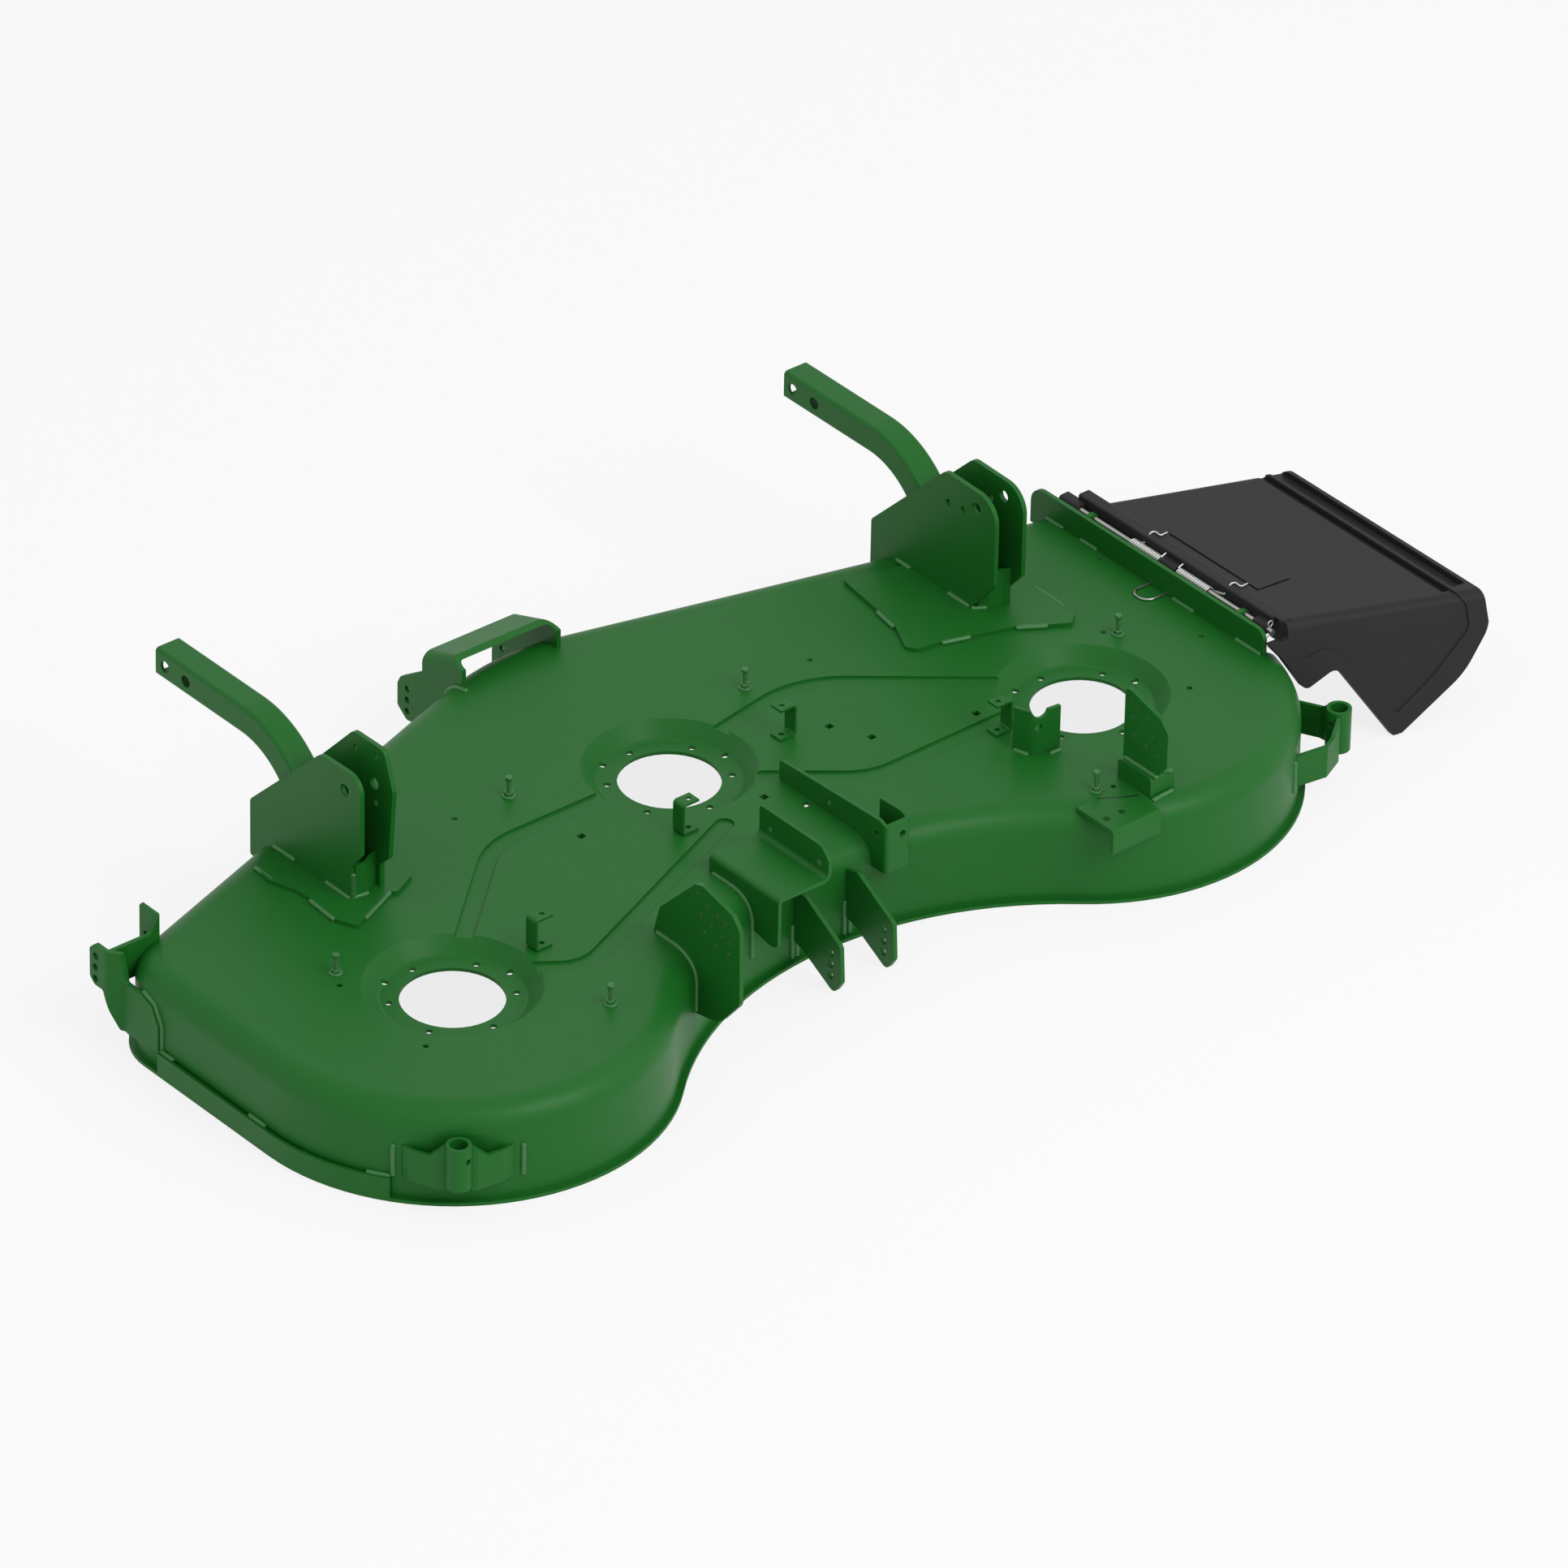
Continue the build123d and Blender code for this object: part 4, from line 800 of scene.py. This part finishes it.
# The split pin's wire, in millimetres out from the rod's axis and up from it.
PIN_LEG = [(4.2, -8.6), (0.7, -5.2), (0.7, 6.2), (3.6, 8.6), (3.9, 11.2), (2.4, 13.6)]
PIN_EYE_TOP = (0.0, 14.2)


def spring_pattern(material):
    """Tree that winds a torsion spring about the hinge rod and joins its bent legs to it."""
    pattern = Pattern("torsion_spring", {
        "Wire Diameter": "NodeSocketFloat", "Coil Gap": "NodeSocketFloat",
        "Coil Diameter": "NodeSocketFloat", "Coil Length": "NodeSocketFloat",
        "Coil End": "NodeSocketVector",
    })
    wire = pattern.given("Wire Diameter")
    turns = pattern.given("Coil Length") / (wire + pattern.given("Coil Gap"))
    coil = pattern.helix(pattern.given("Coil Diameter") / 2.0, pattern.given("Coil Length"), turns, 20)
    laid = pattern.node("GeometryNodeTransform", None, {
        "Geometry": coil, "Translation": pattern.given("Coil End"), "Rotation": (-math.pi / 2, 0.0, 0.0),
    })
    legs = pattern.bent(pattern.given("Geometry"), wire * LEG_BEND)
    wires = pattern.joined(pattern.tube(laid, wire, 8), pattern.tube(legs, wire, 8))
    pattern.close(wires, material, smooth=True)
    return pattern


def wire_pattern(material):
    """Tree that bends a wire along a route."""
    pattern = Pattern("bent_wire", {"Wire Diameter": "NodeSocketFloat", "Bend Radius": "NodeSocketFloat"})
    route = pattern.bent(pattern.given("Geometry"), pattern.given("Bend Radius"))
    pattern.close(pattern.tube(route, pattern.given("Wire Diameter")), material, smooth=True)
    return pattern


def spring_legs(side, settings, chute):
    """Legs of a spring: one through the rib to its bent stub on the chute, one short hook at the coil."""
    coil_rear, coil_front = COIL_SPANS[side]
    outer_y, inner_y = (coil_front, coil_rear) if side == "front" else (coil_rear, coil_front)
    reach = settings.coil_diameter / 2
    stub_y = STUB_STARTS[side]
    x = ROD_AXIS.x
    z = ROD_AXIS.z
    leg = [Vector((x + reach, outer_y, z)), Vector((x + reach + LEG_START[0], stub_y, z + LEG_START[1]))]
    for bend_x, bend_y in STUB_BENDS:
        above = Vector((bend_x, stub_y + bend_y, z + STUB_SEARCH_HEIGHT))
        leg.append(touch(chute, above, Vector((0.0, 0.0, -1.0))) + Vector((0.0, 0.0, settings.stub_height)))
    hook = [(x + out, inner_y, z + reach + up) for out, up in HOOK_BENDS]
    return [leg, hook]


def split_pin_route():
    """Split pin through the rod's rear end: eye above, two legs spread below."""
    y = sum(corner.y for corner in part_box("cotter_pin")) / 2
    points = PIN_LEG + [PIN_EYE_TOP] + [(-x, z) for x, z in reversed(PIN_LEG)]
    return [Vector((ROD_AXIS.x + x / 1000, y, ROD_AXIS.z + z / 1000)) for x, z in points]


def plate_mesh(name, low, high):
    """Square-cornered plate between two corners."""
    shape = bmesh.new()
    bmesh.ops.create_cube(shape, size=1.0)
    bmesh.ops.scale(shape, vec=Vector(high) - Vector(low), verts=shape.verts)
    bmesh.ops.translate(shape, vec=(Vector(high) + Vector(low)) / 2, verts=shape.verts)
    return mesh_of(name, shape)


class DECK_OT_springs(bpy.types.Operator):
    """Wound torsion springs on the hinge rod, its split pin and the guard behind the pin"""

    bl_idname = "mower_deck.springs"
    bl_label = "Wind Springs"

    def execute(self, context):
        settings = context.scene.deck_springs
        zinc = bpy.data.materials["zinc_wire"]
        pattern = spring_pattern(zinc)
        chute = surface_of("discharge_chute")
        for side, (coil_rear, coil_front) in COIL_SPANS.items():
            legs = path_mesh(f"{side}_legs", spring_legs(side, settings, chute))
            spring = pattern.grow(f"{side}_torsion_spring", legs, {
                "Wire Diameter": settings.wire_diameter, "Coil Gap": settings.coil_gap,
                "Coil Diameter": settings.coil_diameter,
                "Coil Length": coil_front - coil_rear - settings.wire_diameter,
                "Coil End": (ROD_AXIS.x, coil_rear + settings.wire_diameter / 2, ROD_AXIS.z),
            })
            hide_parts(f"chute_spring_{side}")
            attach(spring, "chute")
        pin = wire_pattern(zinc).grow("split_pin_wire", path_mesh("pin_route", [split_pin_route()]), {
            "Wire Diameter": settings.pin_diameter, "Bend Radius": PIN_BEND_RADIUS,
        })
        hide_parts("cotter_pin")
        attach(pin, "deck")
        guard = link_object("pin_guard", plate_mesh("pin_guard", *PIN_GUARD))
        guard.data.materials.append(bpy.data.materials["black_plastic"])
        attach(guard, "chute")
        return {"FINISHED"}


# Cover studs

# Places are in millimetres. The turned forms are radius and height in metres.
STUD_PLACES = [(-380, -354), (-593, -103), (-193, 69), (184, 80), (621, -108), (370, -358)]
SHANK = [(0.00275, 0.0), (0.00275, 0.0225)]
CAP = [
    (0.0032, 0.0222), (0.0042, 0.0230), (0.0046, 0.0238), (0.0046, 0.0266), (0.0040, 0.0277),
    (0.0026, 0.0280),
]
FLANGE = [(0.0085, 0.0), (0.0085, 0.0011), (0.0080, 0.0017), (0.0062, 0.0024)]
HEXAGON = [(0.00635, 0.0015), (0.00635, 0.0062), (0.0056, 0.0070), (0.0034, 0.0070), (0.0030, 0.0064)]
STUD_FORMS = ((SHANK, 16), (CAP, 20), (FLANGE, 28), (HEXAGON, 6))
THREAD_FOOT = 0.0068
THREAD_SHARE = 0.72


def add_turned(shape, profile, sides, open_top=False):
    """Adds a turned form to a mesh under construction, from radius and height pairs."""
    rings = []
    for radius, height in profile:
        ring = []
        for step in range(sides):
            turn = 2 * math.pi * (step + 0.5) / sides
            ring.append(shape.verts.new((radius * math.cos(turn), radius * math.sin(turn), height)))
        rings.append(ring)
    for lower, upper in zip(rings, rings[1:]):
        for step in range(sides):
            following = (step + 1) % sides
            shape.faces.new((lower[step], lower[following], upper[following], upper[step]))
    shape.faces.new(list(reversed(rings[0])))
    if not open_top:
        shape.faces.new(rings[-1])


def stud_mesh():
    """One stud with its capped end, hexagon nut and flange, standing on the origin."""
    shape = bmesh.new()
    for profile, sides in STUD_FORMS:
        add_turned(shape, profile, sides)
    return mesh_of("stud", shape)


def stud_pattern(material):
    """Tree that winds a thread round a stud and stands a copy at each place."""
    pattern = Pattern("cover_studs", {
        "Stud": "NodeSocketObject", "Thread Pitch": "NodeSocketFloat", "Thread Length": "NodeSocketFloat",
        "Thread Diameter": "NodeSocketFloat",
    })
    pitch = pattern.given("Thread Pitch")
    length = pattern.given("Thread Length")
    helix = pattern.helix(pattern.given("Thread Diameter") / 2.0, length, length / pitch, 16)
    raised = pattern.node(
        "GeometryNodeTransform", None, {"Geometry": helix, "Translation": (0.0, 0.0, THREAD_FOOT)},
    )
    whole = pattern.joined(pattern.form_of("Stud"), pattern.tube(raised, pitch * THREAD_SHARE, 4))
    pattern.close(pattern.copies(pattern.given("Geometry"), whole), material)
    return pattern


class DECK_OT_studs(bpy.types.Operator):
    """Threaded cover studs with flange nuts"""

    bl_idname = "mower_deck.studs"
    bl_label = "Set Studs"

    def execute(self, context):
        settings = context.scene.deck_studs
        stud = link_object("stud_source", stud_mesh())
        feet = point_mesh("stud_feet", [(x / 1000, y / 1000, DECK_TOP) for x, y in STUD_PLACES])
        studs = stud_pattern(bpy.data.materials["green_paint"]).grow("threaded_studs", feet, {
            "Stud": stud, "Thread Pitch": settings.thread_pitch, "Thread Length": settings.thread_length,
            "Thread Diameter": settings.thread_diameter,
        })
        bpy.data.objects.remove(stud)
        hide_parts("cover_studs", "cover_nuts")
        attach(studs, "deck")
        return {"FINISHED"}


# Blind nuts

# Places and the search height are in millimetres, the nut's forms in metres.
FIXING_HOLES = [
    (-180, -53), (47, -122), (209, -50), (234, -100), (368, -138), (-606, -126), (-606, -289),
    (609, -255), (392, -364),
]
NUT_SEARCH_HEIGHT = -20
NUT_RIM = 0.0085
NUT_BODY = [(0.0092, -0.0110), (0.0098, -0.0102), (0.0098, 0.0)]
NUT_BORE = [(0.0068, -0.0085), (0.0068, 0.0), (0.0084, 0.0)]


def blind_nut_mesh():
    """A closed weld nut that hangs from the origin, with its bore open above."""
    shape = bmesh.new()
    add_turned(shape, NUT_BODY, 6, open_top=True)
    add_turned(shape, NUT_BORE, 12, open_top=True)
    return mesh_of("blind_nut", shape)


def nut_pattern(material):
    """Tree that hangs a nut at each place."""
    pattern = Pattern("blind_nuts", {"Nut": "NodeSocketObject"})
    pattern.close(pattern.copies(pattern.given("Geometry"), pattern.form_of("Nut")), material)
    return pattern


class DECK_OT_nuts(bpy.types.Operator):
    """Blind nuts welded under the fixing holes"""

    bl_idname = "mower_deck.nuts"
    bl_label = "Hang Blind Nuts"

    def execute(self, context):
        shell = surface_of("deck_shell")
        below = in_metres(*[(x, y, NUT_SEARCH_HEIGHT) for x, y in FIXING_HOLES])
        beside = Vector((NUT_RIM, 0.0, 0.0))
        seats = [touch(shell, point + beside, Vector((0.0, 0.0, 1.0))) - beside for point in below]
        nut = link_object("nut_source", blind_nut_mesh())
        pattern = nut_pattern(bpy.data.materials["green_paint"])
        nuts = pattern.grow("blind_nuts", point_mesh("nut_places", seats), {"Nut": nut})
        bpy.data.objects.remove(nut)
        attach(nuts, "deck")
        return {"FINISHED"}


# Registration

class DECK_PT_panel(bpy.types.Panel):
    """Lists the steps that dress the deck"""

    bl_idname = "DECK_PT_panel"
    bl_label = "Mower Deck"
    bl_space_type = "VIEW_3D"
    bl_region_type = "UI"
    bl_category = "Mower Deck"

    def draw(self, context):
        for operator in OPERATORS:
            self.layout.operator(operator.bl_idname)


SETTINGS = {
    "deck_stage": StageSettings,
    "deck_paint": PaintSettings,
    "deck_plastic": PlasticSettings,
    "deck_zinc": ZincSettings,
    "deck_welds": WeldSettings,
    "deck_springs": SpringSettings,
    "deck_studs": StudSettings,
}
OPERATORS = (
    DECK_OT_stage, DECK_OT_finishes, DECK_OT_welds, DECK_OT_springs, DECK_OT_studs, DECK_OT_nuts,
)
CLASSES = (*SETTINGS.values(), *OPERATORS, DECK_PT_panel)


def register():
    for cls in CLASSES:
        bpy.utils.register_class(cls)
    for name, cls in SETTINGS.items():
        setattr(bpy.types.Scene, name, PointerProperty(type=cls))


def unregister():
    for name in SETTINGS:
        delattr(bpy.types.Scene, name)
    for cls in reversed(CLASSES):
        bpy.utils.unregister_class(cls)


def main():
    register()
    bpy.ops.mower_deck.stage()
    bpy.ops.mower_deck.finishes()
    bpy.ops.mower_deck.welds()
    bpy.ops.mower_deck.springs()
    bpy.ops.mower_deck.studs()
    bpy.ops.mower_deck.nuts()


if __name__ == "__main__":
    main()
